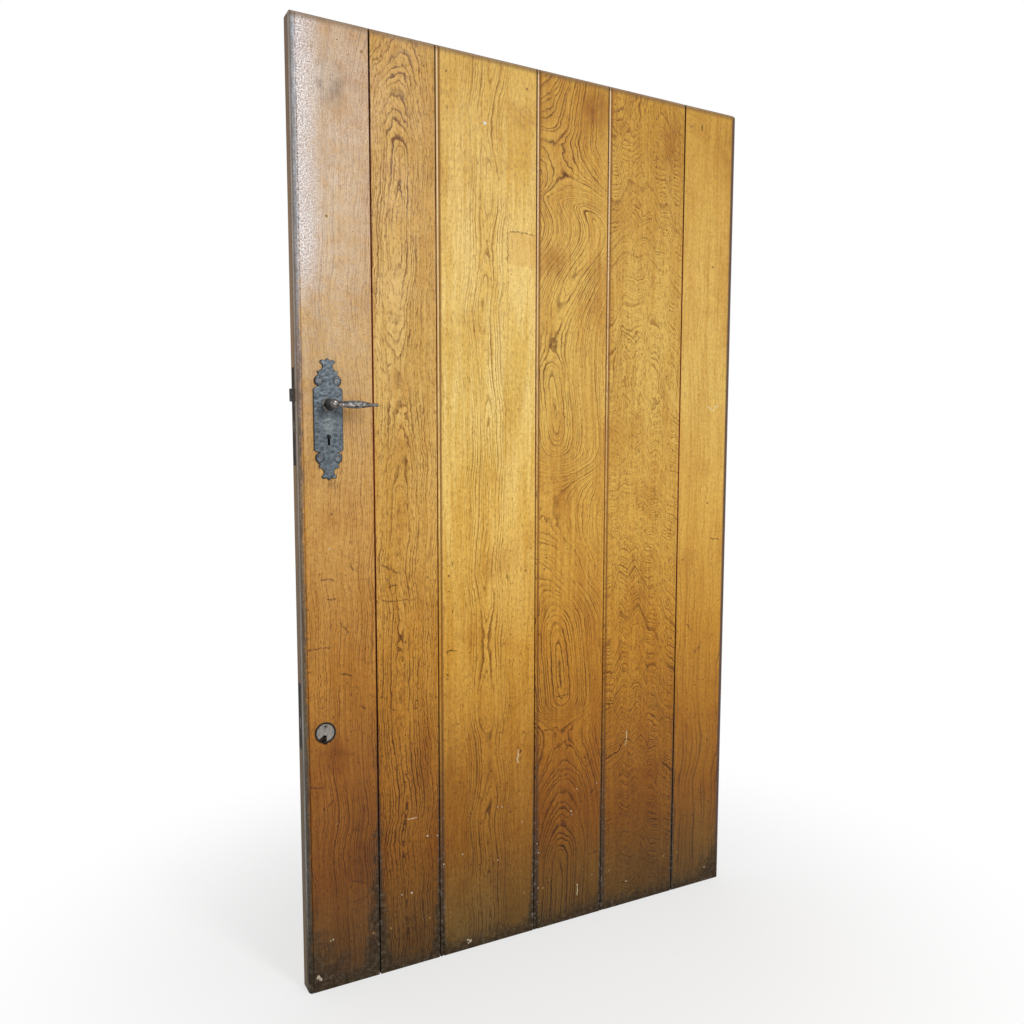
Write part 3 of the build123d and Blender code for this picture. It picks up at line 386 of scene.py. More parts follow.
def closing_edge_wear_and_sheen(node, whole, z, share, from_start, smears):
    """Coats on the closing edge. Near the top is a painted sheen: a whitish haze and veil with bright and
    dark flecks, standing in for light reflected off the varnish. The rounded edge is rubbed bare: grey,
    speckled, olive with dirt low down, and lighter and bluer towards the top as a painted reflection."""
    # Painted sheen near the top: a whitish haze, a veil over a strip by the edge, and bright and dark flecks
    # in it
    sides = node("MapRange", from_start, 10.0, 150.0, 0.5, 0.24)
    climb = node("MapRange", z, *SHEEN_HAZE_CLIMB, interpolation_type="SMOOTHSTEP")
    clear = node("MapRange", smears, 0.4, 0.62, 1.0, 0.4)
    sheen_haze = node("Math", sides, climb, operation="MULTIPLY")
    sheen_haze = node("Math", sheen_haze, clear, operation="MULTIPLY")
    sheen_strip = node("MapRange", from_start, 10.0, 68.0, 1.0, 0.08, interpolation_type="SMOOTHSTEP")
    climb = node("MapRange", z, *SHEEN_FLECK_CLIMB, interpolation_type="SMOOTHSTEP")
    sheen_strip = node("Math", sheen_strip, climb, operation="MULTIPLY")
    sheen_veil = node("Math", sheen_strip, 0.45, operation="MULTIPLY")
    coats = [(sheen_haze, "#D8CEBC"), (sheen_veil, "#D4CFDA")]
    fine = node("TexNoise", whole, 1 / 3.2, 3.0, 0.7)
    for none, full, amount, tint in SHEEN_FLECKS:
        flecks = node("MapRange", fine, none, full, 0.0, amount)
        coats.append((node("Math", flecks, sheen_strip, operation="MULTIPLY"), tint))
    # The rubbed arris: grey and speckled, lighter and bluer towards the top as a painted reflection
    worn = node("ValToRGB", share, stops=[
        (0.0, "#4A4436"), (1.0, "#B4BBC4"), (0.3, "#6E6450"), (0.5, "#92785C"), (0.66, "#A08C84"),
        (0.8, "#B2B7C0")])
    shadow = node("ValToRGB", share, stops=[
        (0.0, "#2E271F"), (1.0, "#8E8A8A"), (0.6, "#4E433A"), (0.75, "#7A7472")])
    streaks = node("VectorMath", whole, (1.0, 1.0, 0.12), operation="MULTIPLY")
    streaks = node("TexNoise", streaks, 1 / 4, 4.0)
    for pattern, amount in ((fine, 0.8), (streaks, 0.7)):
        specks = node("MapRange", pattern, 0.52, 0.42, 0.0, amount)
        worn = node("Mix", specks, worn, shadow, data_type="RGBA")
    ragged = node("Math", smears, 14.0, -7.0, operation="MULTIPLY_ADD")
    ragged = node("Math", from_start, ragged, operation="ADD")
    band = node("MapRange", ragged, 5.0, 10.0, 0.9, 0.0)
    side = node("MapRange", from_start, 0.6, 2.0, 0.85, 0.0)
    bare = node("ValToRGB", share, stops=[
        (0.0, "#3E3628"), (1.0, "#8E7860"), (0.3, "#5E523E"), (0.6, "#7C6448")])
    return coats + [(band, worn), (side, bare)]


def bead_shade_and_highlight(node, share, from_start):
    """Painted light on a beaded joint: painted shade, brown in the quirk beside the bead, and a painted
    highlight, pale along its crown higher up.
    """
    rise = node("MapRange", from_start, 3.6, 5.6)
    fall = node("MapRange", from_start, 8.0, 11.0, 0.75, 0.0)
    quirk_shade = node("Math", rise, fall, operation="MULTIPLY")
    crown = node("MapRange", apart(node, from_start, BEAD_CROWN), 0.6, BEAD_CROWN, 1.0, 0.0)
    bright = node("MapRange", share, 0.45, 0.85, 0.0, 0.8)
    crown = node("Math", crown, bright, operation="MULTIPLY")
    return [(quirk_shade, "#8A5A30"), (crown, "#E8CCA6")]


def foot_dirt(node, x, z, smears):
    """How much floor dirt lies at the foot: it climbs higher in both corners and beside four joints."""
    reach = node("MapRange", x, *CORNER_DIRT)
    for middle, width, climb in FOOT_DIRT:
        beside = apart(node, x, middle)
        extra = node("MapRange", beside, 0, width, climb, 0, interpolation_type="SMOOTHSTEP")
        reach = node("Math", reach, extra, operation="ADD")
    lift = node("MapRange", smears, 0.25, 0.75, 1.9, 0.3)
    reach = node("Math", reach, lift, operation="MULTIPLY")
    dirt = node("Math", z, reach, operation="DIVIDE")
    return node("MapRange", dirt, 0.1, 1.0, 0.9, 0.0, interpolation_type="SMOOTHSTEP")


def knocks(node, whole, share, shaky, patchy, marks):
    """Cuts in the varnish: the scratches, and small dark nicks and flecks, more of them low down."""
    cells = node("TexVoronoi", shaky, 1 / NICK_CELL, voronoi_dimensions="2D")
    luck = node("SeparateColor", cells.outputs["Color"])
    size = node("MapRange", luck, 0.5, 1.0, 0.0, 0.085)
    fewer = node("MapRange", share, 0.2, 0.6, 1.0, 0.4)
    size = node("Math", size, fewer, operation="MULTIPLY")
    nicks = node("Math", cells.outputs["Distance"], size, operation="LESS_THAN")
    nicks = node("Math", nicks, 0.8, operation="MULTIPLY")
    flecks = node("TexNoise", whole, 1 / 6, 4.0, 0.75)
    flecks = node("MapRange", flecks, 0.6, 0.68, 0.0, 0.75)
    flecks = node("Math", flecks, fewer, operation="MULTIPLY")
    cuts = node("Math", scratched(node, shaky, marks), patchy, operation="MULTIPLY")
    cuts = node("Math", cuts, nicks, operation="MAXIMUM")
    return node("Math", cuts, flecks, operation="MAXIMUM")


for name, plank in boards.items():
    plank = USUAL | plank
    finish, node = blank_material(f"golden_varnished_oak_{name}")
    whole, (x, y, z) = millimetres(node)
    low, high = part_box(name)
    start = low.x / MM
    end = high.x / MM - (0 if name == "board_6" else TONGUE)
    from_start = node("Math", x, start, operation="SUBTRACT")
    from_end = node("Math", end, x, operation="SUBTRACT")
    share = node("Math", z, 1 / LEAF_HEIGHT, operation="MULTIPLY")
    spot = node("CombineXYZ", x, z)
    extras = {key: plank[key] for key in ("wild", "zigzag", "waves", "focus") if key in plank}
    figure = oak_figure(
        node, (x, y, z), plank["heart"], plank["depths"], plank["ring"], plank["ragged"], **extras)
    _, rings, _, pores = figure
    colour = oak_colour(node, figure, plank["colours"], plank["bold"], plank["ticks"])
    reverse = node("Mix", 1.0, colour, "#B59A76", data_type="RGBA", blend_type="MULTIPLY")
    # Old varnish and painted shade: clear at eye height, browner at the top, and darker and browner all the
    # way down to the foot. Part of that darkening is painted shade of the light falling off
    varnish_age_and_shade = node("ValToRGB", share, stops=[
        (0.0, "#746A62"), (1.0, "#E2D3B0"), (0.06, "#8E7A62"), (0.13, "#A88452"), (0.23, "#CAA66C"),
        (0.35, "#EACE96"), (0.5, "#FEF3DA"), (0.65, "#FFFFFF"), (0.8, "#FAF7F3")])
    colour = node("Mix", 1.0, colour, varnish_age_and_shade, data_type="RGBA", blend_type="MULTIPLY")
    # The open grain holds dirt towards the foot
    filled = node("MapRange", share, 0.05, 0.5, 0.7, 0.0)
    filled = node("Math", filled, rings, operation="MULTIPLY")
    colour = node("Mix", filled, colour, "#2E1A0A", data_type="RGBA")
    mottle = node("TexNoise", whole, 1 / 7, 4.0, 0.75)
    mottle = node("MapRange", mottle, 0.32, 0.68, 0.84, 1.14)
    colour = node("VectorMath", colour, mottle, operation="SCALE")
    smears = node("TexNoise", whole, 1 / 28, 5.0, 0.65)
    uneven = node("MapRange", smears, 0.36, 0.6, 0.25, 1.0)
    # Stains, and the painted shadows on board 1
    for blot_x, blot_z, half_x, half_z, amount, tint in stains_and_shadows:
        if start < blot_x < end:
            blot_mask = blot(node, spot, (blot_x, blot_z), (half_x, half_z), amount)
            blot_mask = node("Math", blot_mask, uneven, operation="MULTIPLY")
            colour = node("Mix", blot_mask, colour, tint, data_type="RGBA", blend_type="MULTIPLY")
    # Coats over the oak, in order, each a mask and a tint, some of them painted light. First dirt and painted
    # shade in the joints, and the wear beside them
    coats = []
    rim, bead = JOINT_RIMS[plank["joint"]], BEAD_WIDTHS[plank["joint"]]
    left = node("MapRange", from_start, rim / 3, rim, 0.85, 0.0)
    # The joint's walls deep in the gap are painted dark: dirt and painted shade
    inside = node("MapRange", y, FRONT + 3.0, FRONT + 4.4, 0.0, 0.9)
    grime_and_shade = node("Math", left, inside, operation="MAXIMUM")
    if name == "board_6":
        outer = node("MapRange", from_end, 11.0, 15.0, 0.95, 0.0)
        coats.append((outer, "#54403A"))
        clear = node("MapRange", from_end, 7.0, 9.0)
        grime_and_shade = node("Math", grime_and_shade, clear, operation="MULTIPLY")
    else:
        right = node("MapRange", from_end, 0.2, 0.8, 0.85, 0.0)
        grime_and_shade = node("Math", grime_and_shade, right, operation="MAXIMUM")
    # Painted shade in each bead's quirk and a painted highlight on its crown
    if plank["joint"] == "bead":
        coats += bead_shade_and_highlight(node, share, from_start)
    # Painted sheen and rubbed wear along the closing edge
    if plank["joint"] == "edge":
        clear = node("MapRange", from_start, 6.0, 10.0)
        grime_and_shade = node("Math", grime_and_shade, clear, operation="MULTIPLY")
        coats += closing_edge_wear_and_sheen(node, whole, z, share, from_start, smears)
    # The colour in and beside the joints: dirt, and painted shade deep in the gap
    filth = node("ValToRGB", share, stops=[
        (0.0, "#24160B"), (1.0, "#46281A"), (0.3, "#522C18"), (0.55, "#B0623A"), (0.8, "#A05A36")])
    packed = node("MapRange", share, 0.08, 0.3, 0.75, 0.0)
    wide = node("MapRange", from_start, bead, bead + 4, 1.0, 0.0)
    narrow = node("MapRange", from_end, 2.0, 5.0, 1.0, 0.0)
    wide = node("Math", wide, narrow, operation="MAXIMUM")
    packed = node("Math", packed, wide, operation="MULTIPLY")
    top = node("MapRange", z, LEAF_HEIGHT - 16, LEAF_HEIGHT - 8, 0.0, 0.75)
    coats += [(grime_and_shade, filth), (packed, "#38322A"), (top, "#7A5B38")]
    # Floor dirt, with dry dust in the joints
    dirt = foot_dirt(node, x, z, smears)
    grit = node("TexNoise", whole, 1 / 11, 6.0, 0.78)
    soil = node("ValToRGB", grit, stops=[
        (0.34, "#1E160D"), (0.7, "#766C5A"), (0.48, "#372B1C"), (0.58, "#4E4334")])
    dust = node("MapRange", grit, 0.54, 0.64, 0.0, 0.5)
    dust = node("Math", dust, wide, operation="MULTIPLY")
    fewer = node("MapRange", z, 150, 480, 1.0, 0.0)
    dust = node("Math", dust, fewer, operation="MULTIPLY")
    coats += [(dirt, soil), (dust, "#A8A398")]
    # Knocks and scratches, their lines made shaky
    wobble = node("TexNoise", whole, 1 / 10, 3.0).outputs["Color"]
    wobble = node("VectorMath", wobble, (0.5, 0.5, 0.5), operation="SUBTRACT")
    shaky = node("VectorMath", wobble, (12, 12, 0), spot, operation="MULTIPLY_ADD")
    patchy = node("MapRange", grit, 0.42, 0.58, 0.3, 0.95)
    cuts = knocks(node, whole, share, shaky, patchy, [mark for mark in scratches if start < mark[0] < end])
    coats.append((cuts, "#43200C"))
    marks = [mark for mark in pale_scrapes if start < mark[0] < end]
    if marks:
        scrapes = node("Math", scratched(node, shaky, marks), patchy, operation="MULTIPLY")
        coats.append((scrapes, "#E6D6B0"))
    if name == "board_3":
        # A square of browner oak let into the face
        gap = node("VectorMath", spot, PATCH_MIDDLE, operation="SUBTRACT")
        gap = node("VectorMath", gap, operation="ABSOLUTE")
        gap = node("VectorMath", gap, PATCH_HALF, operation="SUBTRACT")
        gap = node("SeparateXYZ", gap).outputs
        gap = node("Math", gap[0], gap[1], operation="MAXIMUM")
        coats.append((node("MapRange", gap, -1.0, 1.0, 0.35, 0.0), "#D09C4C"))
    if name == "board_1":
        # Painted shade: black on the board behind the keyhole of the handle plate and in the gap round the
        # rose disc
        coats += [(blot(node, spot, middle, half, 0.95, 0.1), "#0E0906") for middle, half in HOLE_SHADE]
    # The back of the board was never varnished
    behind = node("MapRange", y, SEAM - 2.0, SEAM - 1.0)
    for mask, tint in coats + [(behind, reverse)]:
        colour = node("Mix", mask, colour, tint, data_type="RGBA")
    # Relief: open pores and rings, cuts, and the pebbled skin of brushed varnish
    peel = node("TexNoise", whole, 1 / 4, 2.0)
    sunk = node("Math", rings, 0.35, pores, operation="MULTIPLY_ADD")
    sunk = node("Math", sunk, cuts, operation="ADD")
    height = node("Math", peel, plank["peel"] * 2, operation="MULTIPLY")
    height = node("Math", height, sunk, operation="SUBTRACT")
    relief = node("Bump", {"Height": height, "Strength": 0.5, "Distance": SKIN_DEPTH})
    dull = node("TexNoise", whole, 1 / 90, 3.0)
    dull = node("MapRange", dull, 0.35, 0.65, 0.24, 0.42)
    rough = node("Mix", dirt, dull, 0.85)
    rough = node("Mix", behind, rough, 0.75)
    shader = node("BsdfPrincipled", {
        "Base Color": colour, "Roughness": rough, "Specular IOR Level": plank["gloss"], "Normal": relief})
    node("OutputMaterial", shader)
    dress(finish, name)


def aged_metal(name, dark, light, patch, dent, depth, rough, metallic=0.85):
    """Worked metal gone dull: cloudy between two tones in patches of one size, dented in another."""
    material, node = blank_material(name)
    place, _ = millimetres(node)
    clouds = node("TexNoise", place, 1 / patch, 5.0, 0.62)
    colour = node("ValToRGB", clouds, stops=[(0.34, dark), (0.66, light)])
    dents = node("TexVoronoi", {"Vector": place, "Scale": 1 / dent, "Smoothness": 0.7}, feature="SMOOTH_F1")
    relief = node("Bump", {"Height": dents, "Strength": 0.7, "Distance": depth * MM})
    rubbed = node("MapRange", clouds, 0.3, 0.7, rough + 0.12, rough - 0.08)
    shader = node("BsdfPrincipled", {
        "Base Color": colour, "Metallic": metallic, "Roughness": rubbed, "Normal": relief})
    node("OutputMaterial", shader)
    return material


# Nails: cut nails hold the boards to the framed back. Their heads are set flush, filled and varnished over,
# so they show only as small brown spots.
nail_finish = aged_metal("filled_cut_nail", "#7A5426", "#9C7438", 3, 2, 0.2, 0.7, 0.0)
dress(nail_finish, "board_nails")

# Pegs: riven oak pins driven through the tenons of the framed back and cut off flush.
# Their end grain shows, so the rings lie the other way round.
peg_finish, node = blank_material("oak_end_grain")
_, (x, y, z) = millimetres(node)
peg_oak = {"light": "#96703C", "deep": "#7A5628", "grain": "#4E3114", "pore": "#3A230E"}
figure = oak_figure(node, (x, z, y), 0.0, [(0, 40), (1000, 45), (2000, 50)], 2.5)
colour = oak_colour(node, figure, peg_oak, 0.6, 0.7)
shader = node("BsdfPrincipled", {"Base Color": colour, "Roughness": 0.6})
node("OutputMaterial", shader)
dress(peg_finish, "frame_pegs")

# Paint specks: drips and one dab of white filler that dried on the boards, mostly near the foot. Each is a
# flat lens half sunk in the varnish: rings of points from pole to pole, their edge pulled in at three places.
speck_places = np.array([
    (-289, 294), (-265, 290), (-102, 325), (-113, 327), (-203, 232), (-328, 170), (-7, 215), (-508, 109),
    (-513, 107), (-189, 14), (88, 278), (90, 268), (104, 331), (162, 335), (255, 59), (511, 38), (-501, 953),
    (-2, 191), (-4, 103), (-250, 219), (-351, 171), (-112, 198), (-48, 278), (-144, 1860), (-541, 33),
    (-536, 27), (-184, 18), (-190, 22)]) * MM
speck_radii = np.array([
    2.2, 1.8, 1.6, 1.4, 1.8, 2.6, 1.6, 2.0, 1.5, 1.8, 1.9, 1.4, 1.6, 1.3, 1.8, 1.7, 1.5, 1.6, 1.5, 1.8, 1.6,
    1.5, 1.4, 3.6, 4.2, 3.2, 3.6, 2.4]) * MM
SPECK_RISE, SPECK_RINGS, SPECK_SIDES = 0.5 * MM, 5, 12
SPECK_PULL, SPECK_LOBES, SPECK_TURN = 0.22, 3, 1.7


def new_piece(name, points, faces, finish):
    """A mesh object in the scene, with its finish, from points in metres."""
    mesh = bpy.data.meshes.new(name)
    mesh.from_pydata(points.tolist(), [], faces)
    mesh.materials.append(finish)
    piece = bpy.data.objects.new(name, mesh)
    bpy.context.scene.collection.objects.link(piece)
    return piece


turn = np.arange(SPECK_SIDES) * 2 * np.pi / SPECK_SIDES
slope = np.arange(1, SPECK_RINGS + 1) * np.pi / (SPECK_RINGS + 1)
edge = 1 + SPECK_PULL * np.sin(SPECK_LOBES * turn + np.arange(len(speck_radii))[:, None] * SPECK_TURN)
spread = speck_radii[:, None, None] * np.sin(slope)[None, :, None] * edge[:, None, :]
across = speck_places[:, 0, None, None] + spread * np.cos(turn)
up = speck_places[:, 1, None, None] + spread * np.sin(turn)
out = np.broadcast_to(FRONT * MM - SPECK_RISE * np.cos(slope)[None, :, None], across.shape)
round_points = np.stack((across, out, up), -1).reshape(len(speck_radii), -1, 3)
poles = np.stack([np.stack((speck_places[:, 0], np.full(len(speck_radii), FRONT * MM + side * SPECK_RISE),
                            speck_places[:, 1]), -1) for side in (-1, 1)], 1)
points = np.concatenate((round_points, poles), 1)
here = np.arange(SPECK_SIDES)
after = (here + 1) % SPECK_SIDES
belts = np.arange(SPECK_RINGS - 1)[:, None] * SPECK_SIDES
quads = np.stack((belts + here, belts + SPECK_SIDES + here, belts + SPECK_SIDES + after, belts + after), -1)
last = SPECK_RINGS * SPECK_SIDES
near = np.stack((np.full(SPECK_SIDES, last), here, after), -1)
far = np.stack((np.full(SPECK_SIDES, last + 1), last - SPECK_SIDES + after, last - SPECK_SIDES + here), -1)
first = np.arange(len(speck_radii)) * points.shape[1]
faces = (quads.reshape(-1, 4)[None] + first[:, None, None]).reshape(-1, 4).tolist()
faces += (np.concatenate((near, far))[None] + first[:, None, None]).reshape(-1, 3).tolist()

# Old wall paint, yellowed low down and whiter on the dab of filler
speck_finish, node = blank_material("dried_wall_paint")
place, (x, y, z) = millimetres(node)
grain = node("TexNoise", place, 1 / 1.5, 3.0)
aged = node("MapRange", z, 100, 1200)
tint = node("ValToRGB", grain, stops=[(0.35, "#A8987C"), (0.65, "#D8CDB8")])
colour = node("Mix", aged, tint, "#DCD6D2", data_type="RGBA")
shader = node("BsdfPrincipled", {"Base Color": colour, "Roughness": 0.7})
node("OutputMaterial", shader)
paint_specks = new_piece("paint_specks", points.reshape(-1, 3), faces, speck_finish)
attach(paint_specks, "leaf")

# Locks: cases and covers of rolled steel, let into the closing stile and screwed together, dull with old oil.
# The bolts and the latch are filed from bar and go dark where hands don't reach. The springs are blued.
lock_finish = aged_metal("oiled_rolled_steel", "#5A5D60", "#84888B", 14, 9, 0.05, 0.42)
dress(lock_finish, "lock_case", "lock_cover", "lower_lock_case", "lower_lock_cover", "follower", "spindle")
bolt_finish = aged_metal("dull_bolt_steel", "#35322F", "#5C5853", 8, 6, 0.1, 0.5)
dress(bolt_finish, "latch_bolt", "deadbolt", "lower_bolt")
spring_finish = aged_metal("blued_spring_steel", "#2C3440", "#515C6B", 6, 5, 0.02, 0.35)
dress(spring_finish, "deadbolt_spring", "lower_bolt_spring")

# Latch spring: a strip of blued spring steel, folded once, between the latch's tail and the back of the case.
SPRING_ENDS = np.array([(-459.8, 1267.5), (-470.0, 1284.9), (-480.2, 1273.5)])
SPRING_THICK, SPRING_ROWS = 0.8, 49
spring_low, spring_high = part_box("latch_spring")


def folded_strip(corners, thick, rows, sides):
    """A strip of rectangular section carried along the straight legs between the corners. Each row stands
    square to the path, whose direction is the difference of its neighbouring points."""
    shares = np.linspace(0, len(corners) - 1, rows)
    path = np.stack([np.interp(shares, np.arange(len(corners)), corners[:, axis]) for axis in (0, 1)], 1)
    heading = np.gradient(path, axis=0)
    off = np.stack((-heading[:, 1], heading[:, 0]), 1) / np.linalg.norm(heading, axis=1)[:, None] * thick / 2
    edges = [(path + off, sides[0]), (path + off, sides[1]), (path - off, sides[1]), (path - off, sides[0])]
    points = np.stack([np.insert(edge, 1, side, 1) for edge, side in edges], 1)
    place = np.arange(rows * 4).reshape(rows, 4)
    around = np.roll(place, -1, 1)
    faces = np.stack((place[:-1], place[1:], around[1:], around[:-1]), -1).reshape(-1, 4)
    return points.reshape(-1, 3), np.concatenate((faces, place[:1], place[-1:, ::-1]))


points, faces = folded_strip(SPRING_ENDS, SPRING_THICK, SPRING_ROWS, (spring_low.y / MM, spring_high.y / MM))
folded_spring = new_piece("folded_latch_spring", points * MM, faces.tolist(), spring_finish)
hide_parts("latch_spring")
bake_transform(folded_spring)

# Forends: the iron face plates of the two locks, let flush into the closing edge and held by screws.
# Nobody has cleaned them, so they are black and brown with rust.
forend_finish = aged_metal("blackened_rusty_iron", "#0D0A08", "#2A1B12", 11, 5, 0.3, 0.8, 0.0)
dress(forend_finish, "lock_forend", "lower_forend", "forend_screws")

# Handle plates and levers: forged by hand, hammered all over, blackened and worn to a blue grey.
# Each plate is one mesh: its outline is a row of points from foot to crown, and a ray runs to every point
# from the middle line. The rim is filed round, each screw has a boss, and hammer marks cover the face.
plate_low, plate_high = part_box("front_plate")
PLATE_X, PLATE_Z = (plate_low.x + plate_high.x) / 2 / MM, (plate_low.z + plate_high.z) / 2 / MM
PLATE_THICK = (plate_high.y - plate_low.y) / MM
PLATE_HALF = np.array([(plate_high.x - plate_low.x) / 2, (plate_high.z - plate_low.z) / 2]) / MM
plate_sides = {"front": (-1, FRONT), "back": (1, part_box("back_plate")[0].y / MM)}
# A quarter of the outline above the straight sides, in shares of the half sizes: lines and arcs
plate_runs = [
    [(1.0, 0.468), (0.97, 0.502), (0.86, 0.521)], [(0.86, 0.521), (0.64, 0.544)],
    [(0.64, 0.544), (0.83, 0.566)], [(0.83, 0.566), (0.92, 0.629), (0.83, 0.690)],
    [(0.83, 0.690), (0.63, 0.735)], [(0.63, 0.735), (0.73, 0.785)],
    [(0.73, 0.785), (0.46, 0.808), (0.345, 0.851)], [(0.345, 0.851), (0.385, 0.893), (0.53, 0.930)],
    [(0.53, 0.930), (0.40, 0.968), (0.21, 0.956)], [(0.21, 0.956), (0.0, 1.0)]]
NECK_RUN, CROWN_DEPTH = 7, 8.0
SPINDLE_RISE, SPINDLE_HOLE = 30.0, 8.3
KEY_DROP, KEY_BOW, KEY_SLOT, KEY_REACH = 35.0, 4.75, 2.5, 17.0
SCREW_AT, SCREW_ROOM, BOSS_RADIUS, BOSS_RISE = np.array([18.3, 78.0]), 4.7, 8.2, 0.7
RIM_ROUND, RIM_STEPS, FACE_STEPS = 2.4, np.array([3.4, 2.4, 1.6, 1.0, 0.5, 0.2, 0.0]), 22
HAMMER_MARKS, MARK_SIZE, MARK_DEPTH, MARK_SEED = 320, (3.0, 6.0), (0.2, 0.5), 11
BOSS_FALL, BOSS_SEAT, BOSS_MOAT, RIM_DIRT_AND_SHADE, SCREW_CALM = 1.6, 1.2, 0.8, 1.8, 2.0
RUBBED_DROP, RUBBED_HALF, PIT_DEPTH = 6, (20, 34), 0.3 * MM
FACE_SINK, SIDE_ROWS, SLOT_STEP, HOLE_LEAST, SHARP_TURN = 0.1, 117, 0.05, 0.02, 50


def run_points(corners, step=0.9):
    """Points along a straight run between two corners, or along the circle through three, without the last
    one. The circle's middle comes from the quotient of the first corner's two chords, as complex numbers."""
    places = [complex(*(np.array(corner) * PLATE_HALF)) for corner in corners]
    first, last = places[0], places[-1]
    shares = np.linspace(0, 1, max(3, round(abs(last - first) / step)), endpoint=False)
    if len(places) == 2:
        return first + (last - first) * shares
    middle = places[1]
    chord = (last - first) / (middle - first)
    centre = first - (first - middle) * (chord - abs(chord) ** 2) / (2j * chord.imag)
    sweep = np.angle((middle - centre) / (first - centre)) + np.angle((last - centre) / (middle - centre))
    return centre + (first - centre) * np.exp(1j * sweep * shares)


def hole_half_width(rise):
    """Half the width of the spindle hole and the keyhole at each height from the middle of the plate."""
    spindle = np.sqrt(np.clip(SPINDLE_HOLE ** 2 - (rise - SPINDLE_RISE) ** 2, 0, None))
    bow = np.sqrt(np.clip(KEY_BOW ** 2 - (rise + KEY_DROP) ** 2, 0, None))
    slot = np.where((rise > -KEY_DROP - KEY_REACH) & (rise < -KEY_DROP), KEY_SLOT, 0.0)
    return np.maximum(np.maximum(spindle, bow), slot)


def plate_face(across, rise, rim):
    """Height of the hammered face, and how dark it is painted in its hollows and along the rim, as dirt and
    painted shade. The rim drops by a quarter circle, each boss is a ring with a flat floor for its screw, and
    every hammer mark is a shallow bowl."""
    drop = RIM_ROUND - np.sqrt(np.clip(RIM_ROUND ** 2 - np.clip(RIM_ROUND - rim, 0, None) ** 2, 0, None))
    from_screw = np.hypot(np.abs(across) - SCREW_AT[0], np.abs(rise) - SCREW_AT[1])
    boss = np.clip((BOSS_RADIUS - from_screw) / BOSS_FALL, 0, 1)
    boss = boss * np.clip((from_screw - SCREW_ROOM) / BOSS_SEAT, 0, 1)
    marks = np.random.default_rng(MARK_SEED)
    bowls = np.zeros_like(across)
    places = marks.uniform(-1, 1, (HAMMER_MARKS, 2)) * PLATE_HALF
    for (mark_x, mark_z), size, depth in zip(places, marks.uniform(*MARK_SIZE, HAMMER_MARKS),
                                             marks.uniform(*MARK_DEPTH, HAMMER_MARKS)):
        near = np.clip(1 - ((across - mark_x) ** 2 + (rise - mark_z) ** 2) / size ** 2, 0, None)
        bowls = np.maximum(bowls, depth * near ** 1.5)
    calm = np.clip((from_screw - SCREW_ROOM) / SCREW_CALM, 0, 1)
    moat = np.clip(1 - np.abs(from_screw - BOSS_RADIUS - BOSS_MOAT) / SCREW_CALM, 0, 1)
    seat = np.clip(1 - np.abs(from_screw - SCREW_ROOM), 0, 1)
    shaded_hollows = np.maximum(np.maximum(moat, seat) * 0.8, bowls * 0.8)
    dirt = np.clip(shaded_hollows + np.clip(1 - rim / RIM_DIRT_AND_SHADE, 0, 1) * 0.7, 0, 1)
    return PLATE_THICK - FACE_SINK - drop + boss * BOSS_RISE - bowls * calm, dirt


# Rows from foot to crown: along the straight sides, with rows where holes begin and end, and round the ends
side_rises = np.concatenate((
    np.linspace(-1, 1, SIDE_ROWS) * plate_runs[0][0][1] * PLATE_HALF[1],
    SPINDLE_RISE + np.array([-1, 1]) * SPINDLE_HOLE,
    [KEY_BOW - KEY_DROP, -KEY_DROP - np.sqrt(KEY_BOW ** 2 - KEY_SLOT ** 2)],
    -KEY_DROP - KEY_REACH + np.array([-1, 1]) * SLOT_STEP))
side_rises = np.unique(np.round(side_rises, 3))[1:-1]
runs = [run_points(corners) for corners in plate_runs]
quarter = np.concatenate(runs + [[1j * PLATE_HALF[1]]])
crown_start = sum(len(run) for run in runs[:NECK_RUN])
spine = quarter.imag.copy()
crown = np.linspace(0, 1, len(quarter) - crown_start)
spine[crown_start:] = spine[crown_start] + CROWN_DEPTH * crown
rim_x = np.concatenate((quarter.real[::-1], np.full(len(side_rises), PLATE_HALF[0]), quarter.real))
rim_z = np.concatenate((-quarter.imag[::-1], side_rises, quarter.imag))
spine_z = np.concatenate((-spine[::-1], side_rises, spine))
reach = np.hypot(rim_x, rim_z - spine_z)
inner = np.concatenate((np.zeros(len(quarter)), hole_half_width(side_rises), np.zeros(len(quarter))))
inner[inner < HOLE_LEAST] = 0.0
# Each row runs from the middle line, or from the side of a hole, to the rim, and closes across the flat back
steps = np.linspace(0, 1, FACE_STEPS, endpoint=False)
along = np.concatenate((inner[:, None] + (reach - RIM_STEPS[0] - inner)[:, None] * steps,
                        reach[:, None] - RIM_STEPS), 1)
rim_gap = reach[:, None] - along
share = along / reach[:, None]
half_x = rim_x[:, None] * share
rise_z = spine_z[:, None] + (rim_z - spine_z)[:, None] * share
loop = along.shape[1] + 2
rows = len(rim_x)
place = np.arange(rows * loop).reshape(rows, loop)
ring = np.roll(place, -1, 1)
strips = np.stack((place[:-1], ring[:-1], ring[1:], place[1:]), -1)
keep = np.ones((rows - 1, loop), bool)
keep[:, -1] = (inner[:-1] > 0) | (inner[1:] > 0)
strips = strips[keep]

# Hammered iron: blackened, gone blue grey, rubbed brighter behind the lever, with dirt and painted shade in
# every hollow and along the rim
iron_finish, node = blank_material("hammered_wrought_iron")
whole, (x, y, z) = millimetres(node)
clouds = node("TexNoise", whole, 1 / 7, 5.0, 0.65)
colour = node("ValToRGB", clouds, stops=[(0.36, "#434A4F"), (0.64, "#646C72")])
rubbed = blot(node, node("CombineXYZ", x, z), (PLATE_X, PLATE_Z - RUBBED_DROP), RUBBED_HALF, 0.3)
colour = node("Mix", rubbed, colour, "#8C928E", data_type="RGBA")
